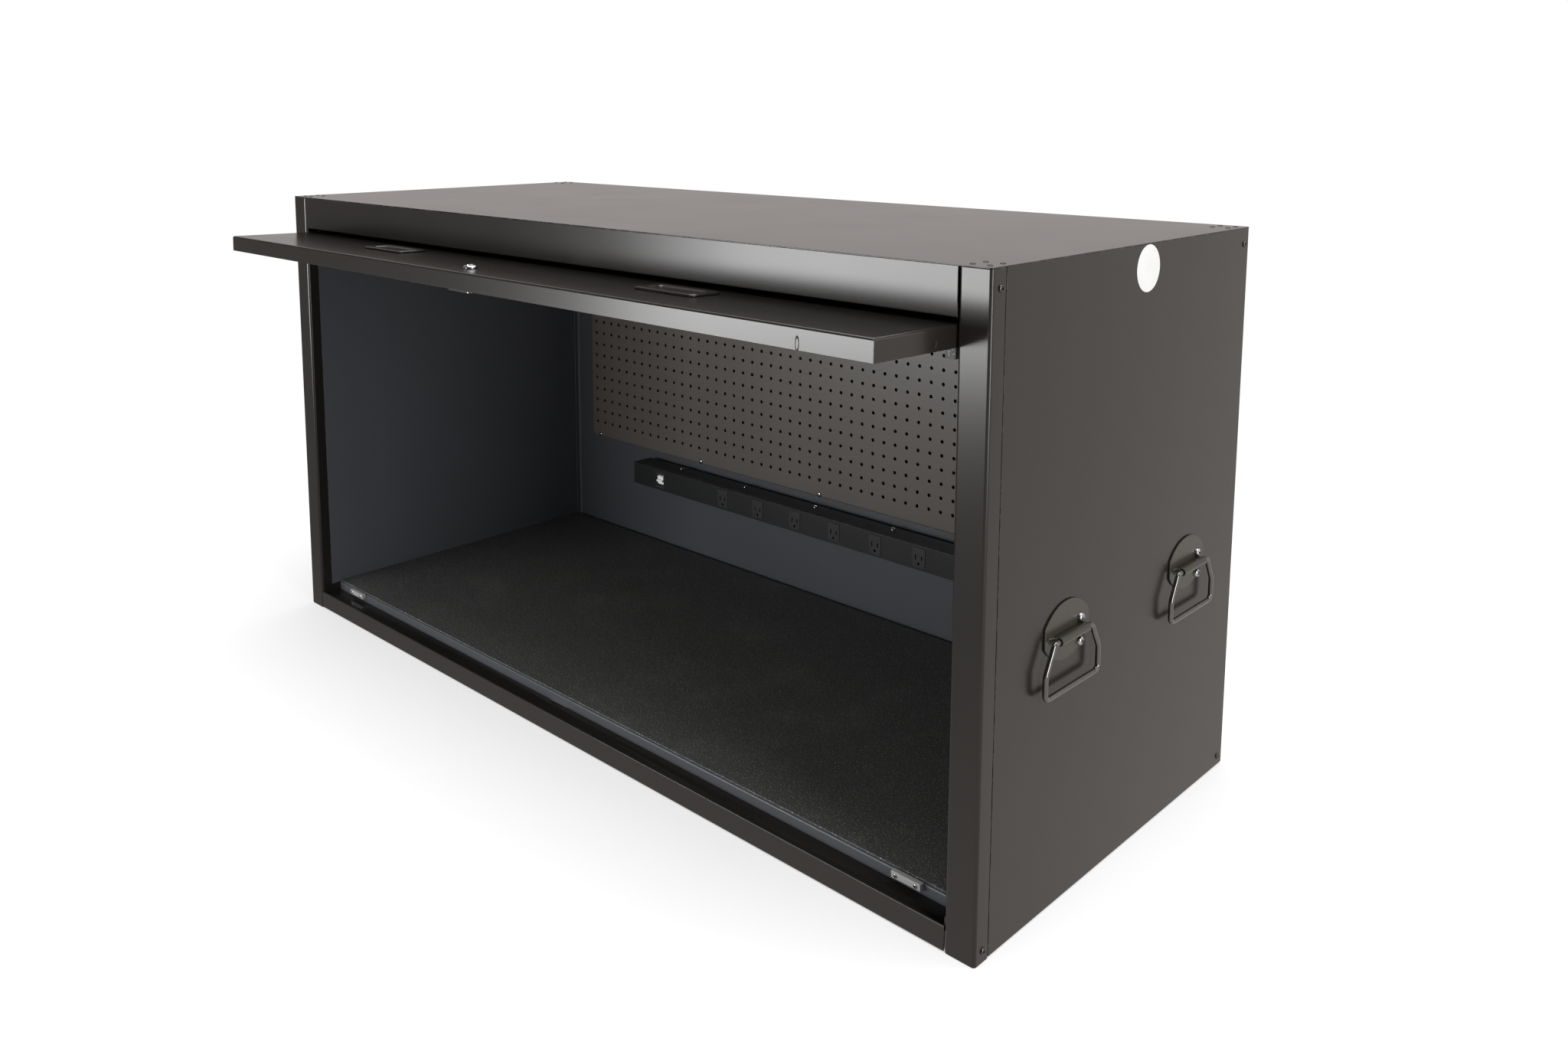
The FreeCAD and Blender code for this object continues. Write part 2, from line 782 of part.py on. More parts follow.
def power_strip():
    """Extruded housing with end caps, sockets, rocker switch and screws."""
    bar = box(
        "strip_bar",
        ("-strip_half", "strip_front", "strip_low"),
        ("2*strip_half", "strip_deep", "strip_tall"),
    )
    hollow = box(
        "strip_hollow",
        ("-strip_half - 1", "strip_front + socket_deep + 1", "strip_low + strip_wall"),
        (
            "2*strip_half + 2",
            "strip_deep - socket_deep - 1 - strip_wall",
            "strip_tall - 2*strip_wall",
        ),
    )
    pockets = []
    sockets = []
    for number in range(7):
        middle = f"socket_first + {number}*socket_pitch"
        pockets.append(
            box(
                f"socket_pocket_{number}",
                (f"{middle} - socket_wide/2", "strip_front - 1", "strip_level - socket_tall/2"),
                ("socket_wide", "socket_deep + 1", "socket_tall"),
            )
        )
        block = box(
            f"socket_block_{number}",
            (f"{middle} - socket_wide/2", "strip_front - socket_proud", "strip_level - socket_tall/2"),
            ("socket_wide", "socket_deep + socket_proud", "socket_tall"),
        )
        blades = [
            box(
                f"socket_{name}_{number}",
                (
                    f"{middle} {sign} blade_offset - blade_wide/2",
                    "strip_front - socket_proud - 1",
                    f"strip_level - {long}/2",
                ),
                ("blade_wide", "contact_deep", long),
            )
            for name, sign, long in (("neutral", "-", "blade_long"), ("live", "+", "blade_short"))
        ]
        earth = prism(
            f"socket_earth_{number}",
            (middle, "strip_front - socket_proud - 1", "strip_level - earth_drop"),
            "Y",
            "earth_radius",
            "contact_deep",
            HEAD_SIDES,
        )
        sockets.append(cut(f"socket_{number}", block, *blades, earth))
    switch_pocket = box(
        "switch_pocket",
        ("switch_x - switch_wide/2", "strip_front - 1", "strip_level - socket_tall/2"),
        ("switch_wide", "socket_deep + 1", "socket_tall"),
    )
    cord_hole = rod(
        "strip_cord_hole",
        ("grommet_x", "peg_face - strip_wall - 1", "strip_level"),
        "Y",
        "grommet_bore",
        "strip_wall + 2",
    )
    keep("strip_housing", cut("strip_housing", bar, hollow, switch_pocket, cord_hole, *pockets))
    keep("strip_sockets", several("strip_sockets", *sockets))
    caps = [
        box(
            "strip_cap_" + name,
            (x, "strip_front", "strip_low"),
            ("strip_cap", "strip_deep", "strip_tall"),
        )
        for name, x in (("right", "strip_half"), ("left", "-strip_half - strip_cap"))
    ]
    keep("strip_end_caps", several("strip_end_caps", *caps))
    brackets = [
        box(
            f"strip_bracket_{number + 2}",
            (f"{number}*bracket_spacing - bracket_wide/2", "peg_face", "strip_low + bracket_inset"),
            ("bracket_wide", "peg_stand", "strip_tall - 2*bracket_inset"),
        )
        for number in (-1, 0, 1)
    ]
    keep("strip_brackets", several("strip_brackets", *brackets))
    bezel = box(
        "bezel_block",
        ("switch_x - switch_wide/2", "strip_front - socket_proud", "strip_level - socket_tall/2"),
        ("switch_wide", "socket_deep + socket_proud", "socket_tall"),
    )
    well = rod(
        "rocker_well",
        ("switch_x - rocker_wide/2 - rocker_fit", "strip_front + rocker_face - rocker_sink", "strip_level"),
        "X",
        "rocker_radius + rocker_fit",
        "rocker_wide + 2*rocker_fit",
    )
    mouth = box(
        "rocker_mouth",
        (
            "switch_x - rocker_wide/2 - rocker_fit",
            "strip_front - socket_proud - 1",
            "strip_level - rocker_radius - rocker_fit",
        ),
        (
            "rocker_wide + 2*rocker_fit",
            "rocker_face + socket_proud + 1 - rocker_sink",
            "2*(rocker_radius + rocker_fit)",
        ),
    )
    keep("switch_bezel", cut("switch_bezel", bezel, well, mouth))
    drum = rod("rocker_drum", ("-rocker_wide/2", "0", "0"), "X", "rocker_radius", "rocker_wide")
    faces = []
    for name, sign in (("upper", 1), ("lower", -1)):
        face = box(
            "rocker_face_" + name,
            ("-rocker_wide", "0", "0"),
            ("2*rocker_wide", "2*rocker_radius", "2*rocker_radius"),
        )
        low = "0" if sign > 0 else "-2*rocker_radius*cos(rocker_angle)"
        back = "2*rocker_radius" if sign > 0 else "2*rocker_radius + 2*rocker_radius*sin(rocker_angle)"
        face.Placement = FreeCAD.Placement(FreeCAD.Vector(), FreeCAD.Rotation(sign * RIGHT, 1))
        face.setExpression("Placement.Base.x", bind("-rocker_wide"))
        face.setExpression("Placement.Base.y", bind(f"-rocker_face - ({back})"))
        face.setExpression("Placement.Base.z", bind(low))
        face.setExpression("Placement.Rotation.Angle", bind("rocker_angle"))
        faces.append(face)
    rocker = cut("switch_rocker", drum, *faces)
    rocker.Placement = FreeCAD.Placement(FreeCAD.Vector(), FreeCAD.Rotation(RIGHT, 1))
    rocker.setExpression("Placement.Base.x", bind("switch_x"))
    rocker.setExpression("Placement.Base.y", bind("strip_front + rocker_face - rocker_sink"))
    rocker.setExpression("Placement.Base.z", bind("strip_level"))
    rocker.setExpression("Placement.Rotation.Angle", bind("rocker_angle"))
    keep("switch_rocker", rocker)
    screws = [
        head(
            f"strip_screw_{number + 3}",
            (f"{number}*strip_screw_pitch", "peg_face - strip_screw_back", "strip_low + strip_tall"),
            "Z",
            "screw_head",
            "screw_dome",
        )
        for number in range(-2, 3)
    ]
    keep("strip_screws", several("strip_screws", *screws))
    ring = prism(
        "grommet_ring",
        ("grommet_x", "rear - 3*sheet", "strip_level"),
        "Y",
        "grommet_bore + grommet_wall",
        "3*sheet",
        RING_SIDES,
    )
    bore = prism(
        "grommet_hole",
        ("grommet_x", "rear - 4*sheet", "strip_level"),
        "Y",
        "grommet_bore",
        "5*sheet",
        RING_SIDES,
    )
    groove = cut(
        "grommet_groove",
        prism(
            "groove_outer",
            ("grommet_x", "rear - 2*sheet", "strip_level"),
            "Y",
            "grommet_bore + 2*grommet_wall",
            "sheet",
            RING_SIDES,
        ),
        prism(
            "groove_inner",
            ("grommet_x", "rear - 2*sheet - 1", "strip_level"),
            "Y",
            "grommet_bore + grommet_wall/2",
            "sheet + 2",
            RING_SIDES,
        ),
    )
    keep("cable_grommet", cut("cable_grommet", ring, bore, groove))


def guide():
    """Tracks, brackets and buffers, and the carriages with arms, pins and cross bar."""
    track = extrusion(
        "track",
        "XZ_Plane",
        [
            ("track_in", "-track_half - track_sheet"),
            ("track_out", "-track_half - track_sheet"),
            ("track_out", "track_half + track_sheet"),
            ("track_in", "track_half + track_sheet"),
            ("track_in", "track_half - track_lip"),
            ("track_in + track_sheet", "track_half - track_lip"),
            ("track_in + track_sheet", "track_half"),
            ("track_out - track_sheet", "track_half"),
            ("track_out - track_sheet", "-track_half"),
            ("track_in + track_sheet", "-track_half"),
            ("track_in + track_sheet", "-track_half + track_lip"),
            ("track_in", "-track_half + track_lip"),
        ],
        "-(track_rear)",
        "track_rear + track_front",
    )
    both_sides("track", on_track(track))
    brackets = [
        box(
            f"track_bracket_{number}",
            ("track_out", y, "-track_half"),
            ("width/2 - sheet - track_out", "bracket_long", "2*track_half"),
        )
        for number, y in enumerate(("bracket_first", "slide_run/2", "slide_run"))
    ]
    right = on_track(several("track_brackets_group", *brackets))
    keep("track_brackets", several("track_brackets", right, mirrored("track_brackets_left", right)))
    buffer_block = box(
        "track_buffer",
        (
            "track_in + track_sheet + buffer_fit",
            "slide_run + carriage_rear + buffer_gap",
            "-carriage_half",
        ),
        ("track_deep - 2*track_sheet - buffer_fit", "buffer_long", "2*carriage_half"),
    )
    stop = on_track(several("track_buffer_seat", buffer_block))
    keep("track_buffers", several("track_buffers", stop, mirrored("track_buffers_left", stop)))
    block = box(
        "carriage_block",
        ("track_in + track_sheet + carriage_gap", "-carriage_front", "-carriage_half"),
        (
            "track_deep - 2*track_sheet - 2*carriage_gap",
            "carriage_front + carriage_rear",
            "2*carriage_half",
        ),
    )
    pin_hole = rod("carriage_pin_hole", ("inner_half", "0", "0"), "X", "pin_radius", "post_face")
    carriage = on_carriage(cut("carriage", block, pin_hole))
    both_sides("carriage", carriage)
    arm_outline = box(
        "arm_plate",
        ("inner_half - arm_gap - arm_sheet", "-pin_radius - arm_margin", "-pin_radius - arm_margin"),
        (
            "arm_sheet",
            "bar_back + pin_radius + arm_margin + bar_radius",
            "2*(pin_radius + arm_margin)",
        ),
    )
    arm_hole = rod("arm_pin_hole", ("door_half", "0", "0"), "X", "pin_radius", "2*door_gap")
    arm = on_carriage(cut("hinge_arm", arm_outline, arm_hole))
    keep("hinge_arms", several("hinge_arms", arm, mirrored("hinge_arm_left", arm)))
    pin = rod(
        "hinge_pin",
        ("door_half - bush_length + bush_inset", "0", "0"),
        "X",
        "pin_radius",
        "track_out - track_sheet - carriage_gap - door_half + bush_length - bush_inset",
    )
    pin_right = on_carriage(several("hinge_pin_holder", pin))
    keep("hinge_pins", several("hinge_pins", pin_right, mirrored("hinge_pin_left", pin_right)))
    bar_half = "inner_half - arm_gap - arm_sheet"
    tube = cut(
        "cross_bar",
        prism(
            "cross_bar_outer",
            (f"-({bar_half})", "bar_back", "0"),
            "X",
            "bar_radius",
            f"2*({bar_half})",
            RING_SIDES,
        ),
        prism(
            "cross_bar_inner",
            (f"-({bar_half}) - 1", "bar_back", "0"),
            "X",
            "bar_radius - bar_wall",
            f"2*({bar_half}) + 2",
            RING_SIDES,
        ),
    )
    keep("cross_bar", on_carriage(tube))


def door():
    """Skin, inner panel, ribs, bushes, pulls and buffers, drawn about the pin axis."""
    outer = box(
        "skin_block",
        ("-door_half", "-door_fore", "-door_thick/2"),
        ("2*door_half", "door_long", "door_thick"),
    )
    rounded = doc.addObject("Part::Fillet", "skin_rounded")
    rounded.Base = outer
    doc.recompute()
    picked = []
    for number, edge in enumerate(outer.Shape.Edges, 1):
        middle = edge.CenterOfMass
        local = outer.Placement.inverse().multVec(middle)
        if local.z > size("door_thick") - 0.1:
            picked.append((number, size("door_bend"), size("door_bend")))
    rounded.Edges = picked
    inside = box(
        "skin_inside",
        ("-door_half + door_skin_sheet", "-door_fore + door_skin_sheet", "-door_thick/2 - 1"),
        (
            "2*(door_half - door_skin_sheet)",
            "door_long - 2*door_skin_sheet",
            "door_thick - door_skin_sheet + 1",
        ),
    )
    lock_hole = rod("skin_lock_hole", ("lock_x", "lock_v", "0"), "Z", "lock_radius", "door_thick")
    pin_holes = [
        rod("skin_pin_hole_" + name, (x, "0", "0"), "X", "pin_radius + pin_fit", "bush_length")
        for name, x in (("right", "door_half - bush_length/2"), ("left", "-door_half - bush_length/2"))
    ]
    keep("door_skin", on_door(cut("door_skin", rounded, inside, lock_hole, *pin_holes)))
    pan = box(
        "pan_sheet",
        ("-door_half + door_skin_sheet", "-door_fore + door_skin_sheet", "-door_thick/2"),
        ("2*(door_half - door_skin_sheet)", "door_long - 2*door_skin_sheet", "door_pan_sheet"),
    )
    pan_hole = rod("pan_lock_hole", ("lock_x", "lock_v", "-door_thick"), "Z", "lock_radius", "door_thick")
    keep("door_inner_panel", on_door(cut("door_inner_panel", pan, pan_hole)))
    ribs = []
    for number in (-1, 0, 1):
        middle = f"{number}*rib_spacing + rib_shift"
        low = "-door_thick/2 + door_pan_sheet"
        high = "door_thick/2 - door_skin_sheet"
        half = "rib_width/2"
        ribs.append(
            extrusion(
                f"rib_{number + 2}",
                "XZ_Plane",
                [
                    (f"{middle} - {half}", low),
                    (f"{middle} - {half} + rib_foot", low),
                    (f"{middle} - {half} + rib_foot", f"{high} - sheet"),
                    (f"{middle} + {half} - rib_foot", f"{high} - sheet"),
                    (f"{middle} + {half} - rib_foot", low),
                    (f"{middle} + {half}", low),
                    (f"{middle} + {half}", f"{low} + sheet"),
                    (f"{middle} + {half} - rib_foot + sheet", f"{low} + sheet"),
                    (f"{middle} + {half} - rib_foot + sheet", high),
                    (f"{middle} - {half} + rib_foot - sheet", high),
                    (f"{middle} - {half} + rib_foot - sheet", f"{low} + sheet"),
                    (f"{middle} - {half}", f"{low} + sheet"),
                ],
                "rib_end - pin_inset",
                "door_long - 2*rib_end",
            )
        )
    keep("door_ribs", on_door(several("door_ribs", *ribs)))
    bushes = []
    for name, x in (
        ("right", "door_half - door_skin_sheet - bush_length"),
        ("left", "-door_half + door_skin_sheet"),
    ):
        body = prism("bush_" + name, (x, "0", "0"), "X", "bush_radius", "bush_length", WIRE_SIDES)
        bore_start = (f"{x} - 1", "0", "0")
        bore = rod("bush_bore_" + name, bore_start, "X", "pin_radius + pin_fit", "bush_length + 2")
        foot = box(
            "bush_foot_" + name,
            (x, "-bush_radius", "-door_thick/2 + door_pan_sheet"),
            ("bush_length", "2*bush_radius", "door_thick/2 - door_pan_sheet"),
        )
        bushes.append(cut("door_bush_" + name, join("bush_body_" + name, body, foot), bore))
    keep("door_bushes", on_door(several("door_bushes", *bushes)))
    for name, sign in (("right", 1), ("left", -1)):
        middle = f"{sign}*pull_x"
        top = "door_thick/2"
        plate = extrusion(
            "pull_plate_" + name,
            "XY_Plane",
            [
                (f"{middle} - pull_wide/2", "pull_middle - pull_deep/2"),
                (f"{middle} + pull_wide/2", "pull_middle - pull_deep/2"),
                (f"{middle} + pull_wide/2", "pull_middle + pull_deep/2"),
                (f"{middle} - pull_wide/2", "pull_middle + pull_deep/2"),
            ],
            top,
            "pull_proud",
            [((0, 1, 2, 3), "pull_corner")],
        )
        dish = extrusion(
            "pull_dish_" + name,
            "XY_Plane",
            [
                (f"{middle} - pull_wide/2 + pull_rim", "pull_middle - pull_deep/2 + pull_rim"),
                (f"{middle} + pull_wide/2 - pull_rim", "pull_middle - pull_deep/2 + pull_rim"),
                (f"{middle} + pull_wide/2 - pull_rim", "pull_middle + pull_deep/2 - pull_rim/2"),
                (f"{middle} - pull_wide/2 + pull_rim", "pull_middle + pull_deep/2 - pull_rim/2"),
            ],
            f"{top} + pull_proud - pull_dish",
            "pull_proud",
            [((0, 1, 2, 3), "dish_corner")],
        )
        keep("door_pull_" + name, on_door(cut("door_pull_" + name, plate, dish)))
    bumpers = [
        box(
            "bumper_" + name,
            (x, "-door_fore + bumper_from_edge", "-door_thick/2 - bumper_tall"),
            ("bumper_wide", "bumper_long", "bumper_tall"),
        )
        for name, x in (
            ("right", "door_half - bumper_side - bumper_wide"),
            ("left", "bumper_side - door_half"),
        )
    ]
    keep("door_buffers", on_door(several("door_buffers", *bumpers)))


def lock():
    """Cylinder lock: body, nut, turning plug with its key slot, and the flat cam."""
    top = "door_thick/2"
    barrel = join(
        "lock_barrel",
        prism(
            "lock_stem",
            ("lock_x", "lock_v", "under_pan - nut_thick - 1"),
            "Z",
            "lock_radius",
            "door_thick + nut_thick + 1",
            RING_SIDES,
        ),
        prism("lock_flange", ("lock_x", "lock_v", top), "Z", "lock_head_radius", "lock_head", RING_SIDES),
    )
    bore = rod(
        "lock_bore",
        ("lock_x", "lock_v", "-door_thick"),
        "Z",
        "lock_plug_radius + lock_fit",
        "2*door_thick",
    )
    keep("lock_body", on_door(cut("lock_body", barrel, bore)))
    nut = cut(
        "lock_nut",
        prism("nut_outer", ("lock_x", "lock_v", "under_pan - nut_thick"), "Z", "nut_radius", "nut_thick", 6),
        rod("nut_hole", ("lock_x", "lock_v", "-door_thick"), "Z", "lock_radius", "door_thick"),
    )
    keep("lock_nut", on_door(nut))
    plug = cut(
        "lock_plug",
        rod(
            "plug_stem",
            ("lock_x", "lock_v", "cam_top"),
            "Z",
            "lock_plug_radius",
            "lock_tail + door_thick + lock_head + lock_plug_proud",
        ),
        box(
            "key_slot",
            ("lock_x - key_slot/2", "lock_v - key_slot_long/2", f"{top} + lock_head - key_slot_deep"),
            ("key_slot", "key_slot_long", "2*key_slot_deep"),
        ),
    )
    keep("lock_plug", on_door(plug))
    cam = extrusion(
        "lock_cam",
        "XY_Plane",
        [
            ("lock_x + cam_width/2", "lock_v - cam_width/2"),
            ("lock_x + cam_width/2", "lock_v + cam_width/2"),
            ("lock_x - cam_length", "lock_v + cam_width/2"),
            ("lock_x - cam_length", "lock_v - cam_width/2"),
        ],
        "cam_top - cam_thick",
        "cam_thick",
        [((0, 1), "cam_width/2 - 0.1"), ((2, 3), "cam_corner")],
    )
    keep("lock_cam", on_door(cam))


def catches():
    """Magnetic catches on the front edge of the floor pan, each with two screws."""
    blocks = []
    screws = []
    for name, sign in (("right", 1), ("left", -1)):
        middle = f"{sign}*catch_x"
        blocks.append(
            box(
                "catch_" + name,
                (
                    f"{middle} - catch_long/2",
                    "front + trough_depth - catch_deep",
                    "floor_top - catch_tall + catch_proud",
                ),
                ("catch_long", "catch_deep", "catch_tall"),
            )
        )
        for number in (-1, 1):
            screws.append(
                head(
                    f"catch_screw_{name}_{number + 2}",
                    (
                        f"{middle} + {number}*catch_screw_pitch/2",
                        "front + trough_depth - catch_deep",
                        "floor_top - catch_tall/2 + catch_proud",
                    ),
                    "-Y",
                    "catch_screw_head",
                    "catch_screw_rise",
                )
            )
    keep("magnetic_catches", several("magnetic_catches", *blocks))
    keep("catch_screws", several("catch_screws", *screws))


def rounded_loop(corners, radius):
    """The points of a closed loop, with three points round each bend."""
    count = len(corners)
    points = []
    for i in range(count):
        back = (corners[i - 1] - corners[i]).normalize()
        ahead = (corners[(i + 1) % count] - corners[i]).normalize()
        half = back.getAngle(ahead) / 2
        reach = radius / math.tan(half)
        bisector = (back + ahead).normalize()
        middle = corners[i] + bisector * (radius / math.sin(half) - radius)
        points += [corners[i] + back * reach, middle, corners[i] + ahead * reach]
    return points


def flat_sided_wire(points, radius, sides):
    """A closed wire of flat faces, mitred at each point of a loop that lies square to X."""
    count = len(points)
    rings = []
    for i in range(count):
        back = (points[i - 1] - points[i]).normalize()
        ahead = (points[(i + 1) % count] - points[i]).normalize()
        inward = RIGHT.cross(ahead - back).normalize()
        stretch = 1 / math.cos(back.getAngle(-ahead) / 2)
        ring = []
        for k in range(sides):
            angle = 2 * math.pi * (k + 0.5) / sides
            out = inward * (radius * math.cos(angle) * stretch) + RIGHT * (radius * math.sin(angle))
            ring.append(points[i] + out)
        rings.append(ring)
    faces = []
    for i in range(count):
        near, far = rings[i], rings[(i + 1) % count]
        for k in range(sides):
            nxt = (k + 1) % sides
            faces.append(Part.Face(Part.makePolygon([near[k], near[nxt], far[nxt], far[k], near[k]])))
    return Part.Solid(Part.Shell(faces))


def handles():
    """Four handles: plate with a barrel, wire bail through the barrel, and bolts."""
    bolts = []
    axis_x = size("width") / 2 + size("barrel_off")
    axis_z = size("handle_level") - size("barrel_drop")
    for place_name, back in (("front", "handle_front"), ("rear", "handle_rear")):
        middle = f"front + {back}"
        plate = extrusion(
            "handle_plate_" + place_name,
            "YZ_Plane",
            [
                (f"{middle} - plate_half", "handle_level - plate_tall/2 + plate_arch"),
                (f"{middle}", "handle_level - plate_tall/2"),
                (f"{middle} + plate_half", "handle_level - plate_tall/2 + plate_arch"),
                (f"{middle} + plate_half", "handle_level + plate_tall/2 - plate_arch"),
                (f"{middle}", "handle_level + plate_tall/2"),
                (f"{middle} - plate_half", "handle_level + plate_tall/2 - plate_arch"),
            ],
            "width/2",
            "plate_thick",
            [((1, 4), "plate_crown"), ((0, 2, 3, 5), "plate_corner")],
        )
        level = "handle_level - barrel_drop"
        web = extrusion(
            "handle_web_" + place_name,
            "XY_Plane",
            [
                ("width/2 + plate_thick/2", f"{middle} - plate_half + web_inset"),
                ("width/2 + plate_thick", f"{middle} - plate_half + web_inset"),
                ("width/2 + plate_thick + web_step", f"{middle} - barrel_half - web_step"),
                ("width/2 + barrel_off", f"{middle} - barrel_half"),
                ("width/2 + barrel_off", f"{middle} + barrel_half"),
                ("width/2 + plate_thick + web_step", f"{middle} + barrel_half + web_step"),
                ("width/2 + plate_thick", f"{middle} + plate_half - web_inset"),
                ("width/2 + plate_thick/2", f"{middle} + plate_half - web_inset"),
            ],
            f"{level} - web_half",
            "2*web_half",
        )
        barrel = prism(
            "barrel_" + place_name,
            ("width/2 + barrel_off", f"{middle} - barrel_half", level),
            "Y",
            "barrel_radius",
            "2*barrel_half",
            RING_SIDES,
        )
        bore = rod(
            "barrel_bore_" + place_name,
            ("width/2 + barrel_off", f"{middle} - barrel_half - 10", level),
            "Y",
            "wire_radius + wire_fit",
            "2*barrel_half + 20",
        )
        solid = cut(
            "handle_bracket_" + place_name,
            join("handle_joined_" + place_name, plate, web, barrel),
            bore,
        )
        keep(f"handle_plate_right_{place_name}", solid)
        keep(f"handle_plate_left_{place_name}", mirrored(f"handle_plate_mirror_{place_name}", solid))

        centre_y = size("depth") / -2 + size(back)
        half_top = size("bail_top_half")
        half_wide = size("bail_wide_half")
        points = [
            FreeCAD.Vector(axis_x, centre_y + y, axis_z - z)
            for y, z in (
                (-half_top, 0),
                (-half_wide, size("bail_shoulder")),
                (-half_wide, size("bail_drop")),
                (half_wide, size("bail_drop")),
                (half_wide, size("bail_shoulder")),
                (half_top, 0),
            )
        ]
        loop = rounded_loop(points, size("bail_bend"))
        bail = doc.addObject("Part::Feature", "bail_" + place_name)
        bail.Shape = flat_sided_wire(loop, size("wire_radius"), WIRE_SIDES)
        keep(f"bail_right_{place_name}", bail)
        keep(f"bail_left_{place_name}", mirrored(f"bail_mirror_{place_name}", bail))

        for number, rise in (("upper", "bolt_upper"), ("lower", "bolt_lower")):
            bolt = head(
                f"handle_bolt_{place_name}_{number}",
                ("width/2 + plate_thick", f"{middle} + bolt_back", f"handle_level + {rise}"),
                "X",
                "bolt_radius",
                "bolt_rise",
            )
            bolts.append(bolt)
            bolts.append(mirrored(f"handle_bolt_left_{place_name}_{number}", bolt))
    keep("handle_bolts", several("handle_bolts", *bolts))


def trim():
    """Screws of the sides, rivet heads of the top and the plain round label."""
    screws = []
    for row, level in (("top", "height - side_screw_top"), ("low", "side_screw_low")):
        for end, y in (("front", "front + side_screw_front"), ("rear", "rear - side_screw_rear")):
            screw = head(
                f"side_screw_{row}_{end}",
                ("width/2", y, level),
                "X",
                "side_screw_radius",
                "side_screw_dome",
            )
            screws.append(screw)
            screws.append(mirrored(f"side_screw_left_{row}_{end}", screw))
    keep("side_screws", several("side_screws", *screws))
    rivets = []
    for column in (0, 1):
        for row in (0, 1):
            for end, y in (
                ("front", f"front + rivet_front + {row}*rivet_pitch_y"),
                ("rear", f"rear - rivet_front - {row}*rivet_pitch_y"),
            ):
                rivet = head(
                    f"rivet_{end}_{column}_{row}",
                    (f"width/2 - rivet_side - {column}*rivet_pitch_x", y, "height"),
                    "Z",
                    "rivet_radius",
                    "rivet_dome",
                )
                rivets.append(rivet)
                rivets.append(mirrored(f"rivet_left_{end}_{column}_{row}", rivet))
    keep("corner_rivets", several("corner_rivets", *rivets))
    label = prism(
        "round_label",
        ("width/2", "front + label_back", "height - label_from_top"),
        "X",
        "label_radius",
        "label_thick",
        LABEL_SIDES,
    )
    keep("round_label", label)


def check_document():
    """Stop if any object failed or any sub-part has no sound shape."""
    for item in doc.Objects:
        if "Invalid" in item.State or "Error" in item.State:
            raise RuntimeError(f"{item.Name} failed: {item.State}")
    for item in PARTS:
        if item.Shape.isNull() or not item.Shape.isValid():
            raise RuntimeError(f"{item.Label} has no valid shape")
        if not item.Shape.Solids:
            raise RuntimeError(f"{item.Label} holds no solid")


shell()
inner_walls()
power_strip()
guide()
door()
lock()
catches()
handles()
trim()
doc.recompute()
check_document()
os.makedirs("parts", exist_ok=True)
for item in PARTS:
    item.Shape.exportStep(f"parts/{item.Label}.step")
    print(item.Label, len(item.Shape.Solids), "solids", round(item.Shape.Volume), "mm3")
print(len(PARTS), "sub-parts")
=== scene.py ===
# %% [markdown]
# # A wide wall cabinet for tools
#
# The real cabinet is folded from thin steel sheet and painted charcoal. A deep door slides into
# the roof on two tracks, a perforated panel closes the back, and a power strip runs below it.
# The drawing of every part was made beforehand, and it is loaded here as a fixed frame.
# This lesson gives that frame its looks: it rounds the cut edges of the sheets, punches the
# holes, seats the screws, bends the handles from wire, and mixes a paint or a metal for each.

# %% Load the drawing
import json
import math

import bmesh
import bpy
from mathutils import Matrix, Vector

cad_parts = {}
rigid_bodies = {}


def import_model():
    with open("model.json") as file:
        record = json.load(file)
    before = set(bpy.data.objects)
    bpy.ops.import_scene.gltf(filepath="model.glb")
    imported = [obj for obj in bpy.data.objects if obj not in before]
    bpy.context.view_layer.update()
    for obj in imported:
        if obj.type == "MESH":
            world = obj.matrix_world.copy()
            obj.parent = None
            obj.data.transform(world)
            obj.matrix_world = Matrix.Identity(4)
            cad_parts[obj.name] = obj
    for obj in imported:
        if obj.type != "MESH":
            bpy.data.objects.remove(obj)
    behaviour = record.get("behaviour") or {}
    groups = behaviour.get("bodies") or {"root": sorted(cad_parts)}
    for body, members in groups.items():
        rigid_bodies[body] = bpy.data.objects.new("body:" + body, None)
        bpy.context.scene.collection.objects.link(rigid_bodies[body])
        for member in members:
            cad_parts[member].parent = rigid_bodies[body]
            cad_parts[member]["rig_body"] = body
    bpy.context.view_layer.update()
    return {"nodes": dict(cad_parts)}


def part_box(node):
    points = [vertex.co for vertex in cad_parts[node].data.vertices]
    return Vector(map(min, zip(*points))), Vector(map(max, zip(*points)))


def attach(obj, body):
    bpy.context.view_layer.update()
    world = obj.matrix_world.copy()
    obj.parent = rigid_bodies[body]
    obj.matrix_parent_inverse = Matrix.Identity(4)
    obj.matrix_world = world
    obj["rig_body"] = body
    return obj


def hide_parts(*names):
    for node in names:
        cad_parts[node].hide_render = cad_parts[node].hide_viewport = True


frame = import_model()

MM = 0.001
scene = bpy.context.scene
scene.view_settings.view_transform = "Standard"

# %% [markdown]
# ## The camera
#
# The photograph was taken from the right front corner, a little above the top. A camera can be
# aimed by a constraint or by its own angles. Angles are chosen here, because the photograph was
# measured as an azimuth and an elevation. The lens shift slides the picture on the sensor
# without tilting the camera, so the upright edges stay upright.

# %% Aim the camera
AZIMUTH = math.radians(44.393)
ELEVATION = math.radians(7.634)
camera = bpy.data.objects.new("camera", bpy.data.cameras.new("camera"))
camera.data.sensor_width = 36
camera.data.lens = 29.275
camera.data.shift_x = 0.0296
camera.data.shift_y = -0.1563
camera.location = (1.5124, -1.46138, 0.96989)
camera.rotation_euler = (math.pi / 2 - ELEVATION, 0, AZIMUTH)
scene.collection.objects.link(camera)
scene.camera = camera
print("camera at", [round(value, 3) for value in camera.location])

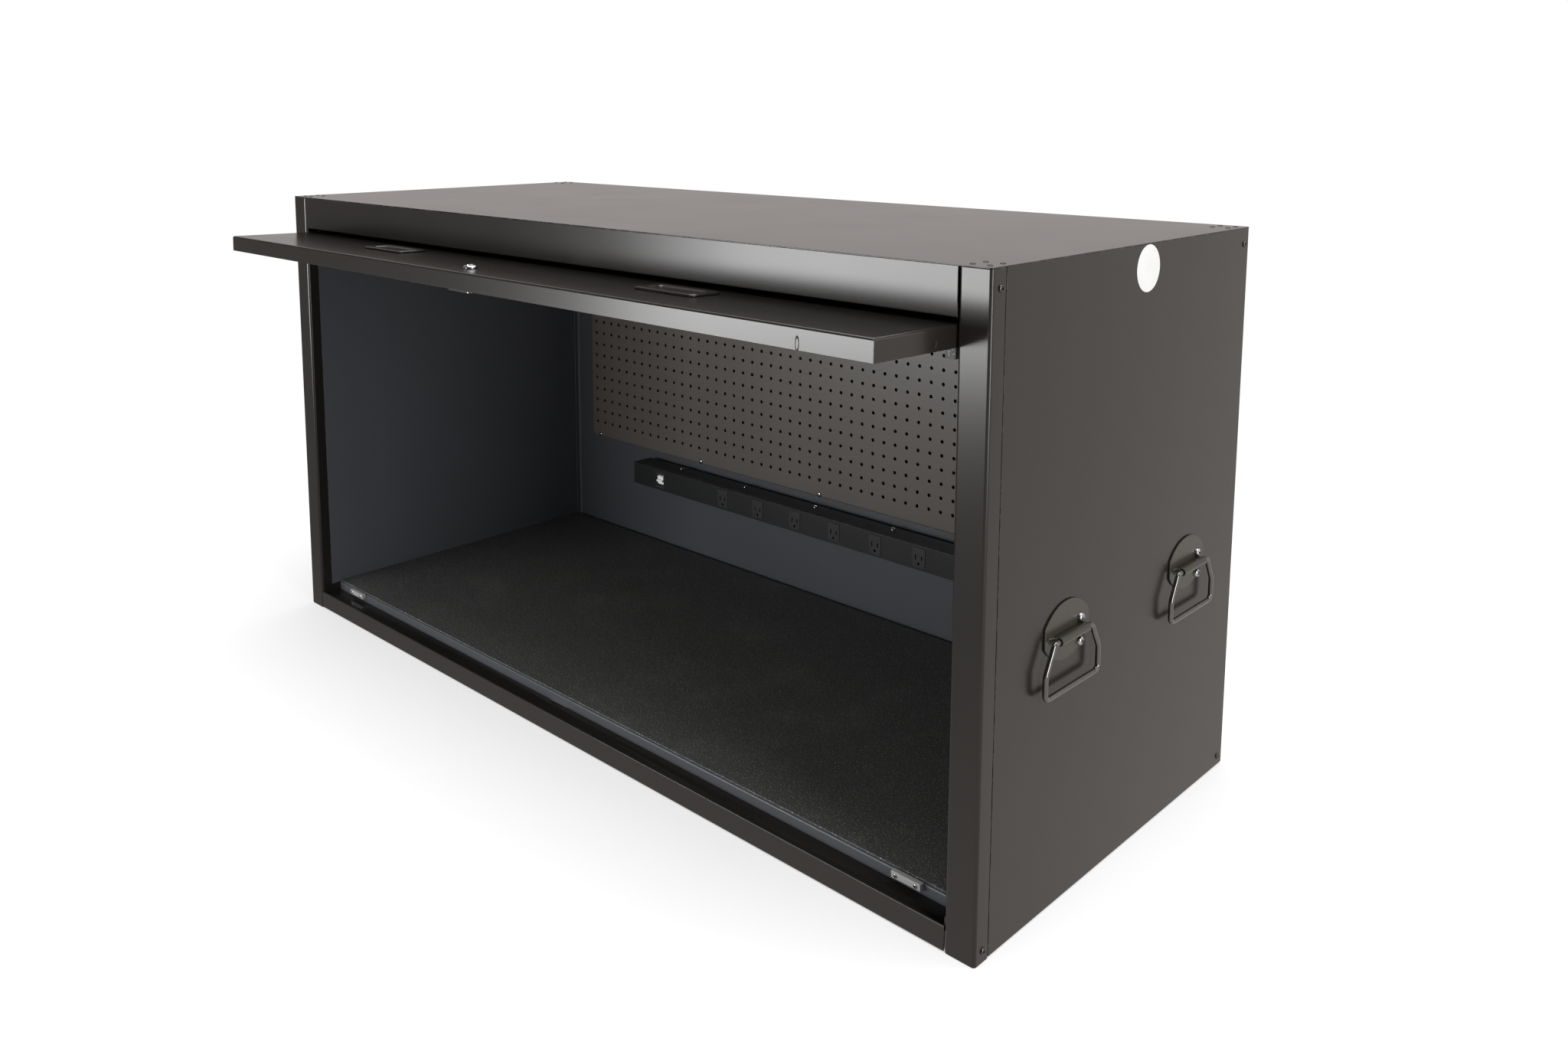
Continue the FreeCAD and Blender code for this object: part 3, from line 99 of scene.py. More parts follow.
# %% [markdown]
# ## Formulas instead of cables
#
# A shader is a net of nodes. Drawn by hand it is a picture of cables, and written call by call
# it is hard to read. Here a socket is wrapped in a small class that knows plus, minus and times,
# so that a pattern is written like a formula, and each operator adds one Math node.
# Every other node comes from a single method: its kind, then its settings, then its sockets.


# %% Wrap a socket
class Term:
    """One output socket that can be used in a formula."""

    def __init__(self, board, socket):
        self.board = board
        self.socket = socket

    def maths(self, operation, first, second):
        return self.board.node("ShaderNodeMath", {"operation": operation}, {0: first, 1: second})

    def __add__(self, other):
        return self.maths("ADD", self, other)

    def __sub__(self, other):
        return self.maths("SUBTRACT", self, other)

    def __mul__(self, other):
        return self.maths("MULTIPLY", self, other)

    def __rsub__(self, other):
        return self.maths("SUBTRACT", other, self)

    __radd__ = __add__
    __rmul__ = __mul__


# %% Add a node
class Board:
    """A node tree that is filled one node at a time."""

    def __init__(self, tree):
        self.tree = tree

    def pick(self, sockets, key):
        if isinstance(key, int):
            return sockets[key]
        return next(s for s in sockets if key in (s.identifier, s.name) and s.enabled)

    def feed(self, socket, value):
        if isinstance(value, Term):
            self.tree.links.new(value.socket, socket)
        else:
            socket.default_value = value

    def node(self, kind, settings=None, sockets=None, out=0):
        made = self.tree.nodes.new(kind)
        for name, value in (settings or {}).items():
            setattr(made, name, value)
        for key, value in (sockets or {}).items():
            self.feed(self.pick(made.inputs, key), value)
        return Term(self, self.pick(made.outputs, out))


# %% Start a finish
class Finish(Board):
    """A material whose patterns are measured in metres on the object."""

    def __init__(self, name):
        self.material = bpy.data.materials.new(name)
        self.material.use_nodes = True
        super().__init__(self.material.node_tree)
        self.surface = self.tree.nodes["Principled BSDF"]
        self.place = self.node("ShaderNodeTexCoord", out="Object")

    def noise(self, size, detail=2.0, rough=0.5, stretch=(1, 1, 1)):
        """Noise with lumps of about this size, in millimetres, drawn out along the axes."""
        along = self.node("ShaderNodeVectorMath", {"operation": "MULTIPLY"},
                          {0: self.place, 1: [1 / value for value in stretch]})
        return self.node("ShaderNodeTexNoise", sockets={
            "Vector": along, "Scale": 1 / (size * MM), "Detail": detail, "Roughness": rough},
            out="Fac")

    def window(self, value, low, high):
        """0 below low, 1 above high, and a soft step between."""
        return self.node("ShaderNodeMapRange", {"interpolation_type": "SMOOTHSTEP"},
                         {"Value": value, "From Min": low, "From Max": high})

    def blend(self, factor, first, second):
        return self.node("ShaderNodeMix", {"data_type": "RGBA"}, {
            "Factor_Float": factor, "A_Color": first, "B_Color": second}, out="Result_Color")

    def shaded(self, colour, amount):
        """A colour made lighter or darker by a pattern whose middle is 1."""
        return self.node("ShaderNodeVectorMath", {"operation": "SCALE"},
                         {0: colour, "Scale": amount}, out="Vector")

    def bump(self, height, depth):
        """Relief of this depth, in millimetres."""
        return self.node("ShaderNodeBump", sockets={"Height": height, "Distance": depth * MM},
                         out="Normal")

    def worn(self):
        """1 on the rounded edges, where hands and tools rub."""
        return self.node("ShaderNodeAttribute", {"attribute_name": "worn"}, out="Fac")

    def cover(self, **sockets):
        for name, value in sockets.items():
            self.feed(self.surface.inputs[name.replace("_", " ")], value)
        print("finish:", self.material.name, len(self.tree.nodes), "nodes")
        return self.material


def tone(red, green, blue):
    return (red, green, blue, 1)


# %% [markdown]
# ## Powder coat
#
# The sheets carry a satin powder coat: charcoal outside, slate inside, and a warmer grey on the
# perforated panel. The back wall takes a darker copy of the slate paint, which is painted shade.
# Powder melts into a skin with a fine orange peel, handling leaves it a bit duller in places, and
# the coat rubs thin on the folded edges. One recipe takes the colour and the gloss, so that all
# the paints stay related. A car paint with flakes would glitter.
#
# The door also has a short upright mark in its front edge and a dimple in its right side. Each
# is an ellipsoid in space that lowers the paint's relief. It shades like a dent, and the mesh
# stays as it is.


# %% Sink small marks
def dents(coat, marks):
    """1 inside small sunk marks, each given by its middle and half its size in metres."""
    sunk = 0
    for middle, half in marks:
        offset = coat.node("ShaderNodeVectorMath", {"operation": "SUBTRACT"},
                           {0: coat.place, 1: middle})
        share = coat.node("ShaderNodeVectorMath", {"operation": "DIVIDE"}, {0: offset, 1: half})
        far = coat.node("ShaderNodeVectorMath", {"operation": "LENGTH"}, {0: share}, out="Value")
        sunk = (1 - coat.window(far, 0.6, 1.0)) + sunk
    return sunk


# %% Mix the coats
PEEL, DENT = 0.006, 0.54  # the relief of the orange peel and of a dent, in millimetres


def powder_coat(name, colour, thin, gloss, marks=()):
    """A coat of this colour, thin over the edges, with roughness of about gloss."""
    coat = Finish(name)
    sunk = dents(coat, marks)
    cloudy = coat.noise(420, detail=3)
    handled = coat.noise(180, detail=3, stretch=(1, 1, 2.2))
    speckle = coat.noise(0.9, detail=1)
    peel = coat.noise(1.9, detail=2)
    rub = coat.worn() * coat.window(coat.noise(16, detail=4, rough=0.65), 0.42, 0.62)
    even = coat.shaded(colour, 0.8 + cloudy * 0.28 + speckle * 0.12)
    return coat.cover(
        Base_Color=coat.blend(rub * 0.7, even, thin),
        Roughness=gloss - 0.025 + handled * 0.05 + rub * 0.06,
        Normal=coat.bump(peel - sunk * (DENT / PEEL), PEEL),
        Specular_IOR_Level=0.45,
    )


CHARCOAL, THIN_CHARCOAL, CHARCOAL_GLOSS = (0.0125, 0.0108, 0.0094), tone(0.075, 0.072, 0.07), 0.23
THIN_SLATE = tone(0.12, 0.125, 0.13)
DOOR_MARKS = [((0.627, -0.465, 0.721), (0.003, 0.02, 0.009)),
              ((0.730, -0.363, 0.7195), (0.02, 0.004, 0.004))]
charcoal = powder_coat("charcoal_coat", CHARCOAL, THIN_CHARCOAL, CHARCOAL_GLOSS)
door_coat = powder_coat("door_coat", CHARCOAL, THIN_CHARCOAL, CHARCOAL_GLOSS, DOOR_MARKS)
slate = powder_coat("slate_coat", (0.072, 0.0755, 0.0845), THIN_SLATE, 0.3)
# The back wall's slate is darker than the liners' as painted shade, because it gets more light
# from the front.
slate_painted_shade = powder_coat("slate_back_coat", (0.046, 0.049, 0.055), THIN_SLATE, 0.3)
panel_grey = powder_coat("panel_coat", (0.075, 0.066, 0.059), tone(0.18, 0.17, 0.16), 0.32)
black_coat = powder_coat("black_coat", (0.009, 0.0095, 0.01), tone(0.06, 0.06, 0.06), 0.3)
olive_black = powder_coat("handle_coat", (0.034, 0.032, 0.023), tone(0.09, 0.088, 0.08), 0.24)

# %% [markdown]
# ## Metals
#
# Four metals show. The tracks and hinges are plated steel, dull and a little blotchy, with
# fine lines along the way they were rolled. Most screws and the lock are chromed, and almost a
# mirror. The wire handles are dark and glossy, close to black chrome. The side screws are
# blackened, and the lock's cam takes the same dark metal as painted shade, which dims its bright
# reflection. All are fully metallic, so their colour is in the reflection, and the differences
# lie in roughness and in streaks.


# %% Mix the metals
def metal(name, colour, gloss, blotch, streak, grain=(1, 1, 1)):
    """A metal with cloudy blotches and with fine streaks drawn out along grain."""
    made = Finish(name)
    cloudy = made.noise(38, detail=4, rough=0.6)
    lines = made.noise(0.8, detail=3, rough=0.6, stretch=grain)
    rub = made.worn() * made.window(made.noise(9, detail=3), 0.4, 0.6)
    return made.cover(
        Base_Color=made.shaded(colour, 1 - blotch * 0.5 + cloudy * blotch + rub * 0.12),
        Metallic=1.0,
        Roughness=gloss - streak * 0.5 + lines * streak + cloudy * 0.06 - rub * 0.04,
        Normal=made.bump(lines, 0.004),
    )


plated = metal("plated_steel", (0.46, 0.46, 0.47), 0.34, 0.3, 0.16, grain=(1, 40, 1))
chrome = metal("chrome_plate", (0.55, 0.56, 0.58), 0.1, 0.08, 0.05)
dark_wire = metal("dark_chrome", (0.17, 0.172, 0.165), 0.14, 0.2, 0.06)
# Blackened metal for the side screws; on the lock's cam it is painted shade that dims its
# reflection.
dark_screw_and_shaded_cam = metal("blackened_screw", (0.11, 0.105, 0.1), 0.22, 0.2, 0.08)

# %% [markdown]
# ## Rubber, plastic and paper
#
# The mat on the floor is black rubber with a pebbled skin and pale flecks, the sockets are
# moulded in black plastic with an etched grain, the switch in white and the catches in grey.
# The round label on the side is plain paper. Each is a plain surface whose life is in its
# small relief.


# %% Mix the rubber
def rubber_skin():
    rubber = Finish("pebbled_rubber")
    pebble = rubber.node("ShaderNodeTexVoronoi", {"feature": "SMOOTH_F1"}, {
        "Vector": rubber.place, "Scale": 1 / (2.6 * MM), "Smoothness": 0.6}, out="Distance")
    fleck = rubber.window(rubber.noise(2.1, detail=2), 0.6, 0.66)
    scuff = rubber.window(rubber.noise(110, detail=5, rough=0.65), 0.5, 0.8)
    base = rubber.shaded((0.052, 0.054, 0.051), 0.7 + pebble * 0.6 + scuff * 0.5)
    return rubber.cover(
        Base_Color=rubber.blend(fleck * 0.8, base, tone(0.32, 0.32, 0.3)),
        Roughness=0.62 + scuff * 0.14,
        Normal=rubber.bump(1 - pebble, 0.09),
    )


rubber = rubber_skin()


# %% Mix the plastics and the paper
def moulded(name, colour, gloss, grain, depth):
    """Plastic or paper with a fine grain, in millimetres, and slightly uneven colour."""
    made = Finish(name)
    cloudy = made.noise(30, detail=3)
    etched = made.noise(grain, detail=2)
    rub = made.worn() * made.window(made.noise(6, detail=3), 0.4, 0.6)
    return made.cover(
        Base_Color=made.shaded(colour, 0.92 + cloudy * 0.16 + rub * 0.1),
        Roughness=gloss - 0.04 + etched * 0.08,
        Normal=made.bump(etched, depth),
        Specular_IOR_Level=0.35,
    )


black_plastic = moulded("black_plastic", (0.013, 0.0135, 0.014), 0.4, 0.5, 0.012)
white_plastic = moulded("white_plastic", (0.74, 0.74, 0.72), 0.34, 0.7, 0.006)
grey_plastic = moulded("grey_plastic", (0.3, 0.3, 0.29), 0.4, 0.7, 0.01)
label_paper = moulded("label_paper", (0.7, 0.695, 0.685), 0.6, 0.35, 0.01)

# %% [markdown]
# ## From drawing to piece
#
# A piece that stands for nodes of the drawing rides on their body and hides them. Live modifiers
# are turned into a plain mesh first. Both steps are the same for every piece, so they are
# written once.


# %% Settle and place a piece
def settle(item):
    """Swaps an object's modifiers for the plain mesh that they make."""
    bpy.context.view_layer.update()
    graph = bpy.context.evaluated_depsgraph_get()
    plain = bpy.data.meshes.new_from_object(item.evaluated_get(graph))
    item.modifiers.clear()
    item.data = plain
    return item


def model(name, form, finish):
    """Makes a smooth-shaded object of a bmesh, with flat faces leading the shading."""
    mesh = bpy.data.meshes.new(name)
    form.to_mesh(mesh)
    form.free()
    mesh.materials.append(finish)
    mesh.shade_smooth()
    item = bpy.data.objects.new(name, mesh)
    scene.collection.objects.link(item)
    lean = item.modifiers.new("lean", "WEIGHTED_NORMAL")
    lean.keep_sharp = True
    return settle(item)


def stand_for(item, *nodes):
    """The piece takes the place of these nodes of the drawing, on their body."""
    first = frame["nodes"][nodes[0]]
    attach(item, first["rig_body"])
    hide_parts(*nodes)
    return item


# %% [markdown]
# ## Folded sheets
#
# The drawing has knife-sharp edges, and a sheet that was cut, folded and painted has none. A
# Bevel modifier could round them, but it doesn't say which faces it made. The bevel operator
# does, so the new narrow faces are marked as worn, and the paint rubs thin just there. The
# folds themselves are facets of a few degrees. They stay, and smooth shading rounds them.

# %% Round the edges of a node
SHARP = math.radians(50)


def merged(node):
    """A copy of a node's triangles, welded, with flat areas joined up."""
    form = bmesh.new()
    form.from_mesh(frame["nodes"][node].data)
    bmesh.ops.remove_doubles(form, verts=form.verts, dist=0.01 * MM)
    bmesh.ops.dissolve_limit(form, angle_limit=math.radians(0.5),
                             verts=form.verts[:], edges=form.edges[:])
    return form


def round_edges(form, edge, steps=2):
    """Rounds the sharp edges by this width, in millimetres, and marks them as worn."""
    worn = form.faces.layers.float.new("worn")
    sharp = [e for e in form.edges if e.is_manifold and e.calc_face_angle(0) > SHARP]
    made = bmesh.ops.bevel(form, geom=sharp, offset=edge * MM, offset_type="OFFSET",
                           segments=steps, profile=0.5, affect="EDGES", clamp_overlap=False)
    for face in made["faces"]:
        face[worn] = 1.0
    return len(sharp)


def soften(finish, edge, *nodes):
    """Stands a rounded copy in the place of each of these nodes."""
    for node in nodes:
        form = merged(node)
        count = round_edges(form, edge)
        item = stand_for(model(node + "_soft", form, finish), node)
        print(f"{node}: {count} edges rounded, {len(item.data.polygons)} faces")


# %% The painted shell
soften(charcoal, 1.1, "front_post_right", "front_post_left")
soften(charcoal, 0.4, "top_panel", "top_rail", "side_panel_right", "side_panel_left",
       "back_panel", "floor_supports")
soften(charcoal, 0.15, "front_sill")
soften(door_coat, 0.4, "door_skin")

# %% The painted inside
# Painted shade: the back wall takes the darker copy of the slate.
soften(slate_painted_shade, 0.3, "back_wall")
soften(slate, 0.3, "side_liner_right", "side_liner_left", "corner_trims",
       "top_braces", "floor_pan", "door_inner_panel", "door_ribs")
soften(black_coat, 0.3, "strip_housing")

# %% The mat, the buffers and the catches
soften(rubber, 0.6, "floor_mat", "door_buffers", "track_buffers")
soften(grey_plastic, 0.8, "magnetic_catches")

# %% The sockets and the switch
soften(black_plastic, 0.3, "strip_sockets", "strip_end_caps", "switch_bezel",
       "carriage_right", "carriage_left")
soften(white_plastic, 0.4, "switch_rocker")

# %% The running gear
soften(plated, 0.25, "track_right", "track_left", "track_brackets", "hinge_arms", "hinge_pins",
       "cross_bar", "door_bushes", "strip_brackets")

# %% [markdown]
# ## The perforated panel
#
# The back is a shallow pan with more than a thousand round holes in straight rows. Cutting each
# hole with a Boolean would be slow and would leave ragged faces. Geometry Nodes fill a flat
# outline instead: the outline and a grid of circles are curves, Fill Curve turns what lies
# between them into a face, and an extrusion gives it the thickness of the sheet. The folded
# rim is made in mesh code from the same outline, so the two meet point for point.


# %% Draw a rounded rectangle
def rounded(half_wide, half_tall, corner, steps=6):
    """Points of a rectangle with rounded corners, in millimetres, anticlockwise."""
    points = []
    for quarter, (side, up) in enumerate([(1, 1), (-1, 1), (-1, -1), (1, -1)]):
        for step in range(steps + 1):
            turn = math.pi / 2 * (quarter + step / steps)
            points.append((side * (half_wide - corner) + corner * math.cos(turn),
                           up * (half_tall - corner) + corner * math.sin(turn)))
    return points


def ringed(form, rings, close=False):
    """Joins rings of equal length with a band of faces, and may close the last one."""
    loops = [[form.verts.new(Vector(point) * MM) for point in ring] for ring in rings]
    for low, high in zip(loops, loops[1:]):
        for here in range(len(low)):
            there = (here + 1) % len(low)
            form.faces.new((low[here], low[there], high[there], high[here]))
    if close:
        form.faces.new(loops[-1])
    return loops


# %% Build the punching tree
def geometry_tree(name, inputs):
    """A Geometry Nodes tree with named inputs, and its board."""
    tree = bpy.data.node_groups.new(name, "GeometryNodeTree")
    tree.interface.new_socket("Geometry", in_out="INPUT", socket_type="NodeSocketGeometry")
    for label, kind in inputs.items():
        tree.interface.new_socket(label, in_out="INPUT", socket_type="NodeSocket" + kind)
    tree.interface.new_socket("Geometry", in_out="OUTPUT", socket_type="NodeSocketGeometry")
    board = Board(tree)
    entry = tree.nodes.new("NodeGroupInput")
    given = {socket.name: Term(board, socket) for socket in entry.outputs if socket.name}
    return board, given


def end_tree(board, geometry, finish):
    """Realises the instances, paints them, and leads them out."""
    plain = board.node("GeometryNodeRealizeInstances", sockets={0: geometry})
    painted = board.node("GeometryNodeSetMaterial", sockets={0: plain, "Material": finish})
    leave = board.tree.nodes.new("NodeGroupOutput")
    board.feed(leave.inputs[0], painted)


def run_tree(item, board, values):
    """Hangs a tree on an object, sets its inputs by identifier, and settles the result."""
    modifier = item.modifiers.new(board.tree.name, "NODES")
    modifier.node_group = board.tree
    for socket in board.tree.interface.items_tree:
        if socket.in_out == "INPUT" and socket.name in values:
            modifier[socket.identifier] = values[socket.name]
    return settle(item)


punch, given = geometry_tree("punched_sheet", {
    "Field width": "Float", "Field height": "Float", "Field lift": "Float", "Columns": "Int",
    "Rows": "Int", "Hole radius": "Float", "Hole sides": "Int", "Sheet": "Float",
    "Finish": "Material"})
field = punch.node("GeometryNodeMeshGrid", sockets={
    "Size X": given["Field width"], "Size Y": given["Field height"],
    "Vertices X": given["Columns"], "Vertices Y": given["Rows"]}, out="Mesh")
lift = punch.node("ShaderNodeCombineXYZ", sockets={"Y": given["Field lift"]})
field = punch.node("GeometryNodeTransform", sockets={0: field, "Translation": lift})
hole = punch.node("GeometryNodeCurvePrimitiveCircle", {"mode": "RADIUS"}, {
    "Resolution": given["Hole sides"], "Radius": given["Hole radius"]})
holes = punch.node("GeometryNodeInstanceOnPoints", sockets={"Points": field, "Instance": hole})
holes = punch.node("GeometryNodeRealizeInstances", sockets={0: holes})
outline = punch.node("GeometryNodeMeshToCurve", sockets={0: given["Geometry"]})
lines = punch.node("GeometryNodeJoinGeometry", sockets={0: outline})
punch.tree.links.new(holes.socket, lines.socket.node.inputs[0])
skin = punch.node("GeometryNodeFillCurve", sockets={0: lines})
front = punch.node("GeometryNodeExtrudeMesh", {"mode": "FACES"}, {
    "Mesh": skin, "Offset Scale": given["Sheet"], "Individual": False})
rear = punch.node("GeometryNodeFlipFaces", sockets={0: skin})
sheet = punch.node("GeometryNodeJoinGeometry", sockets={0: front})
punch.tree.links.new(rear.socket, sheet.socket.node.inputs[0])
sheet = punch.node("GeometryNodeMergeByDistance", sockets={0: sheet, "Distance": 0.01 * MM})
end_tree(punch, sheet, given["Finish"])
print("punching tree:", len(punch.tree.nodes), "nodes")

# %% Punch the panel
HALF_WIDE, HALF_TALL, CORNER = 668, 262.5, 15
PAN_DEEP, PAN_SHEET, FOLD = 12, 1.5, 3
PITCH, COLUMNS, ROWS, HOLE = 25, 53, 20, 3.3
FIELD_MIDDLE = 513.5
pan_low, pan_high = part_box("pegboard")
pan_middle = (pan_low.z + pan_high.z) / 2 / MM

outline_points = rounded(HALF_WIDE - FOLD, HALF_TALL - FOLD, CORNER - FOLD)
loop_mesh = bpy.data.meshes.new("panel_outline")
loop_mesh.from_pydata([(x * MM, y * MM, 0) for x, y in outline_points],
                      [(k, (k + 1) % len(outline_points)) for k in range(len(outline_points))],
                      [])
panel = bpy.data.objects.new("perforated_panel", loop_mesh)
scene.collection.objects.link(panel)
run_tree(panel, punch, {
    "Field width": (COLUMNS - 1) * PITCH * MM, "Field height": (ROWS - 1) * PITCH * MM,
    "Field lift": (FIELD_MIDDLE - pan_middle) * MM, "Columns": COLUMNS, "Rows": ROWS,
    "Hole radius": HOLE * MM, "Hole sides": 16, "Sheet": PAN_SHEET * MM,
    "Finish": panel_grey})
print("punched sheet:", len(panel.data.polygons), "faces")

# %% Fold the rim
form = bmesh.new()
form.from_mesh(panel.data)
on_outline = {(round(x * MM, 5), round(y * MM, 5)) for x, y in outline_points}
cut_edge = [face for face in form.faces if abs(face.normal.z) < 0.5
            and all((round(v.co.x, 5), round(v.co.y, 5)) in on_outline for v in face.verts)]
bmesh.ops.delete(form, geom=cut_edge, context="FACES_ONLY")
rim = []
for inset, height in [(FOLD, PAN_SHEET), (1.5, 1.25), (0.4, 0.3), (0, -1.5),
                      (0, PAN_SHEET - PAN_DEEP), (PAN_SHEET, PAN_SHEET - PAN_DEEP),
                      (PAN_SHEET, -2.2), (2, -0.6), (FOLD, 0)]:
    rim.append([(x, y, height) for x, y in
                rounded(HALF_WIDE - inset, HALF_TALL - inset, CORNER - inset)])
ringed(form, rim)
bmesh.ops.remove_doubles(form, verts=form.verts, dist=0.02 * MM)
bmesh.ops.recalc_face_normals(form, faces=form.faces)
stand_up = Matrix.Translation((0, pan_low.y + PAN_SHEET * MM, pan_middle * MM))
form.transform(stand_up @ Matrix.Rotation(math.pi / 2, 4, "X"))
for edge in form.edges:
    edge.smooth = edge.calc_face_angle(0) < SHARP
bpy.data.objects.remove(panel)
panel = stand_for(model("perforated_panel", form, panel_grey), "pegboard")
print("panel:", len(panel.data.polygons), "faces, box", [round(v, 4) for v in panel.dimensions])

# %% [markdown]
# ## Screws and rivets
#
# Twenty-seven screws, eight bolts and sixteen rivets show. Each kind is turned once, and the
# screws get a cross recess from a Boolean. Copying them by hand would fix their turn, and real
# screws stop at any angle. Geometry Nodes put one head on each seat, aligned with the way the
# seat faces and turned by a random angle. The seed is fixed, but the order in which the seats
# are found isn't, so which head gets which angle changes from run to run.


# %% Turn a profile
def turned(profile, sides, ring=False):
    """A turned form of (radius, height) points in millimetres. A ring joins last to first."""
    form = bmesh.new()
    loops = []
    for radius, height in profile:
        count = sides if radius else 1
        loops.append([form.verts.new((
            radius * MM * math.cos(2 * math.pi * step / sides),
            radius * MM * math.sin(2 * math.pi * step / sides), height * MM))
            for step in range(count)])
    for low, high in zip(loops, loops[1:] + (loops[:1] if ring else [])):
        for here in range(sides):
            there = (here + 1) % sides
            corners = [low[here % len(low)], low[there % len(low)],
                       high[there % len(high)], high[here % len(high)]]
            form.faces.new(list(dict.fromkeys(corners)))
    bmesh.ops.recalc_face_normals(form, faces=form.faces)
    return form


def aimed(form, seat, facing):
    """Moves a turned form onto a seat, with its axis along facing."""
    turn = facing.to_track_quat("Z", "Y").to_matrix().to_4x4()
    form.transform(Matrix.Translation(seat) @ turn)
    return form


# %% Shape the heads
def cross_cutter(radius, top, bottom, wide=0.17):
    """A cross that tapers downwards. Wide is half an arm's width, as a share of the radius."""
    arm, half = 0.66 * radius, wide * radius
    cross = [(arm, half), (half, half), (half, arm), (-half, arm), (-half, half), (-arm, half),
             (-arm, -half), (-half, -half), (-half, -arm), (half, -arm), (half, -half),
             (arm, -half)]
    form = bmesh.new()
    loops = ringed(form, [[(x * grow, y * grow, z) for x, y in cross]
                          for z, grow in [(top, 1.15), (bottom, 0.55)]], close=True)
    form.faces.new(loops[0])
    bmesh.ops.recalc_face_normals(form, faces=form.faces)
    return form


def plain_object(name, form):
    mesh = bpy.data.meshes.new(name)
    form.to_mesh(mesh)
    form.free()
    item = bpy.data.objects.new(name, mesh)
    scene.collection.objects.link(item)
    return item


def cross_head(name, radius, rise, sides=24, wide=0.17):
    """A domed screw head with a cross recess."""
    dome = [(0, -0.05), (radius * 0.98, -0.05), (radius, 0.12 * rise),
            (radius * 0.985, 0.35 * rise), (radius * 0.9, 0.68 * rise),
            (radius * 0.7, 0.9 * rise), (radius * 0.4, 0.985 * rise), (0, rise)]
    head = plain_object(name, turned(dome, sides))
    cutter = plain_object(name + "_cutter", cross_cutter(radius, rise + 0.5, 0.2 * rise, wide))
    cut = head.modifiers.new("recess", "BOOLEAN")
    cut.operation, cut.solver, cut.object = "DIFFERENCE", "EXACT", cutter
    settle(head)
    bpy.data.objects.remove(cutter)
    return head


def rivet_head(name, radius, rise, sides=24):
    """A blind rivet: a low ring with a sunk middle."""
    return plain_object(name, turned([
        (0, -0.05), (radius * 0.98, -0.05), (radius, 0.15 * rise), (radius * 0.9, 0.6 * rise),
        (radius * 0.7, 0.92 * rise), (radius * 0.55, rise), (radius * 0.42, 0.9 * rise),
        (radius * 0.38, 0.3 * rise), (0, 0.2 * rise)], sides))


# %% Build the seating tree
seating, given = geometry_tree("seated_heads", {
    "Head": "Object", "Turn seed": "Int", "Finish": "Material"})
head = seating.node("GeometryNodeObjectInfo", sockets={
    "Object": given["Head"], "As Instance": True}, out="Geometry")
facing = seating.node("GeometryNodeInputNamedAttribute", {"data_type": "FLOAT_VECTOR"},
                      {"Name": "facing"}, out="Attribute")
upright = seating.node("FunctionNodeAlignRotationToVector", {"axis": "Z"}, {"Vector": facing})
angle = seating.node("FunctionNodeRandomValue", {"data_type": "FLOAT"}, {
    "Min": 0.0, "Max": 2 * math.pi, "Seed": given["Turn seed"]}, out="Value")
spin = seating.node("FunctionNodeAxisAngleToRotation", sockets={
    "Axis": (0, 0, 1), "Angle": angle})
stance = seating.node("FunctionNodeRotateRotation", {"rotation_space": "LOCAL"}, {
    "Rotation": upright, "Rotate By": spin})
heads = seating.node("GeometryNodeInstanceOnPoints", sockets={
    "Points": given["Geometry"], "Instance": head, "Rotation": stance})
end_tree(seating, heads, given["Finish"])
print("seating tree:", len(seating.tree.nodes), "nodes")


# %% Find the seats
def islands(form):
    """The separate shells of a form, each as a list of its vertices."""
    left, found = set(form.verts), []
    while left:
        front, shell = [left.pop()], []
        while front:
            here = front.pop()
            shell.append(here)
            for edge in here.link_edges:
                there = edge.other_vert(here)
                if there in left:
                    left.remove(there)
                    front.append(there)
        found.append(shell)
    return found


def seats(node, axis):
    """Where each head of a node sits, and the way it faces, with X axes facing outwards."""
    form = merged(node)
    found = []
    for shell in islands(form):
        middle = sum((v.co for v in shell), Vector()) / len(shell)
        facing = axis * (-1 if axis.x and middle.x < 0 else 1)
        lowest = min(v.co.dot(facing) for v in shell)
        low = Vector([min(v.co[k] for v in shell) for k in range(3)])
        high = Vector([max(v.co[k] for v in shell) for k in range(3)])
        centre = (low + high) / 2
        found.append((centre + facing * (lowest - centre.dot(facing)), facing))
    form.free()
    return found


def seat_heads(node, axis, template, finish, seed):
    """Puts the template on every seat of a node, as one piece."""
    found = seats(node, axis)
    mesh = bpy.data.meshes.new(node + "_seats")
    mesh.from_pydata([seat for seat, _ in found], [], [])
    ways = mesh.attributes.new("facing", "FLOAT_VECTOR", "POINT")
    for mark, (_, way) in zip(ways.data, found):
        mark.vector = way
    item = bpy.data.objects.new(node + "_heads", mesh)
    scene.collection.objects.link(item)
    run_tree(item, seating, {"Head": template, "Turn seed": seed, "Finish": finish})
    bpy.data.objects.remove(template)
    item.data.shade_smooth()
    item.data.set_sharp_from_angle(angle=math.radians(40))
    print(f"{node}: {len(found)} heads, {len(item.data.polygons)} faces")
    return stand_for(item, node)


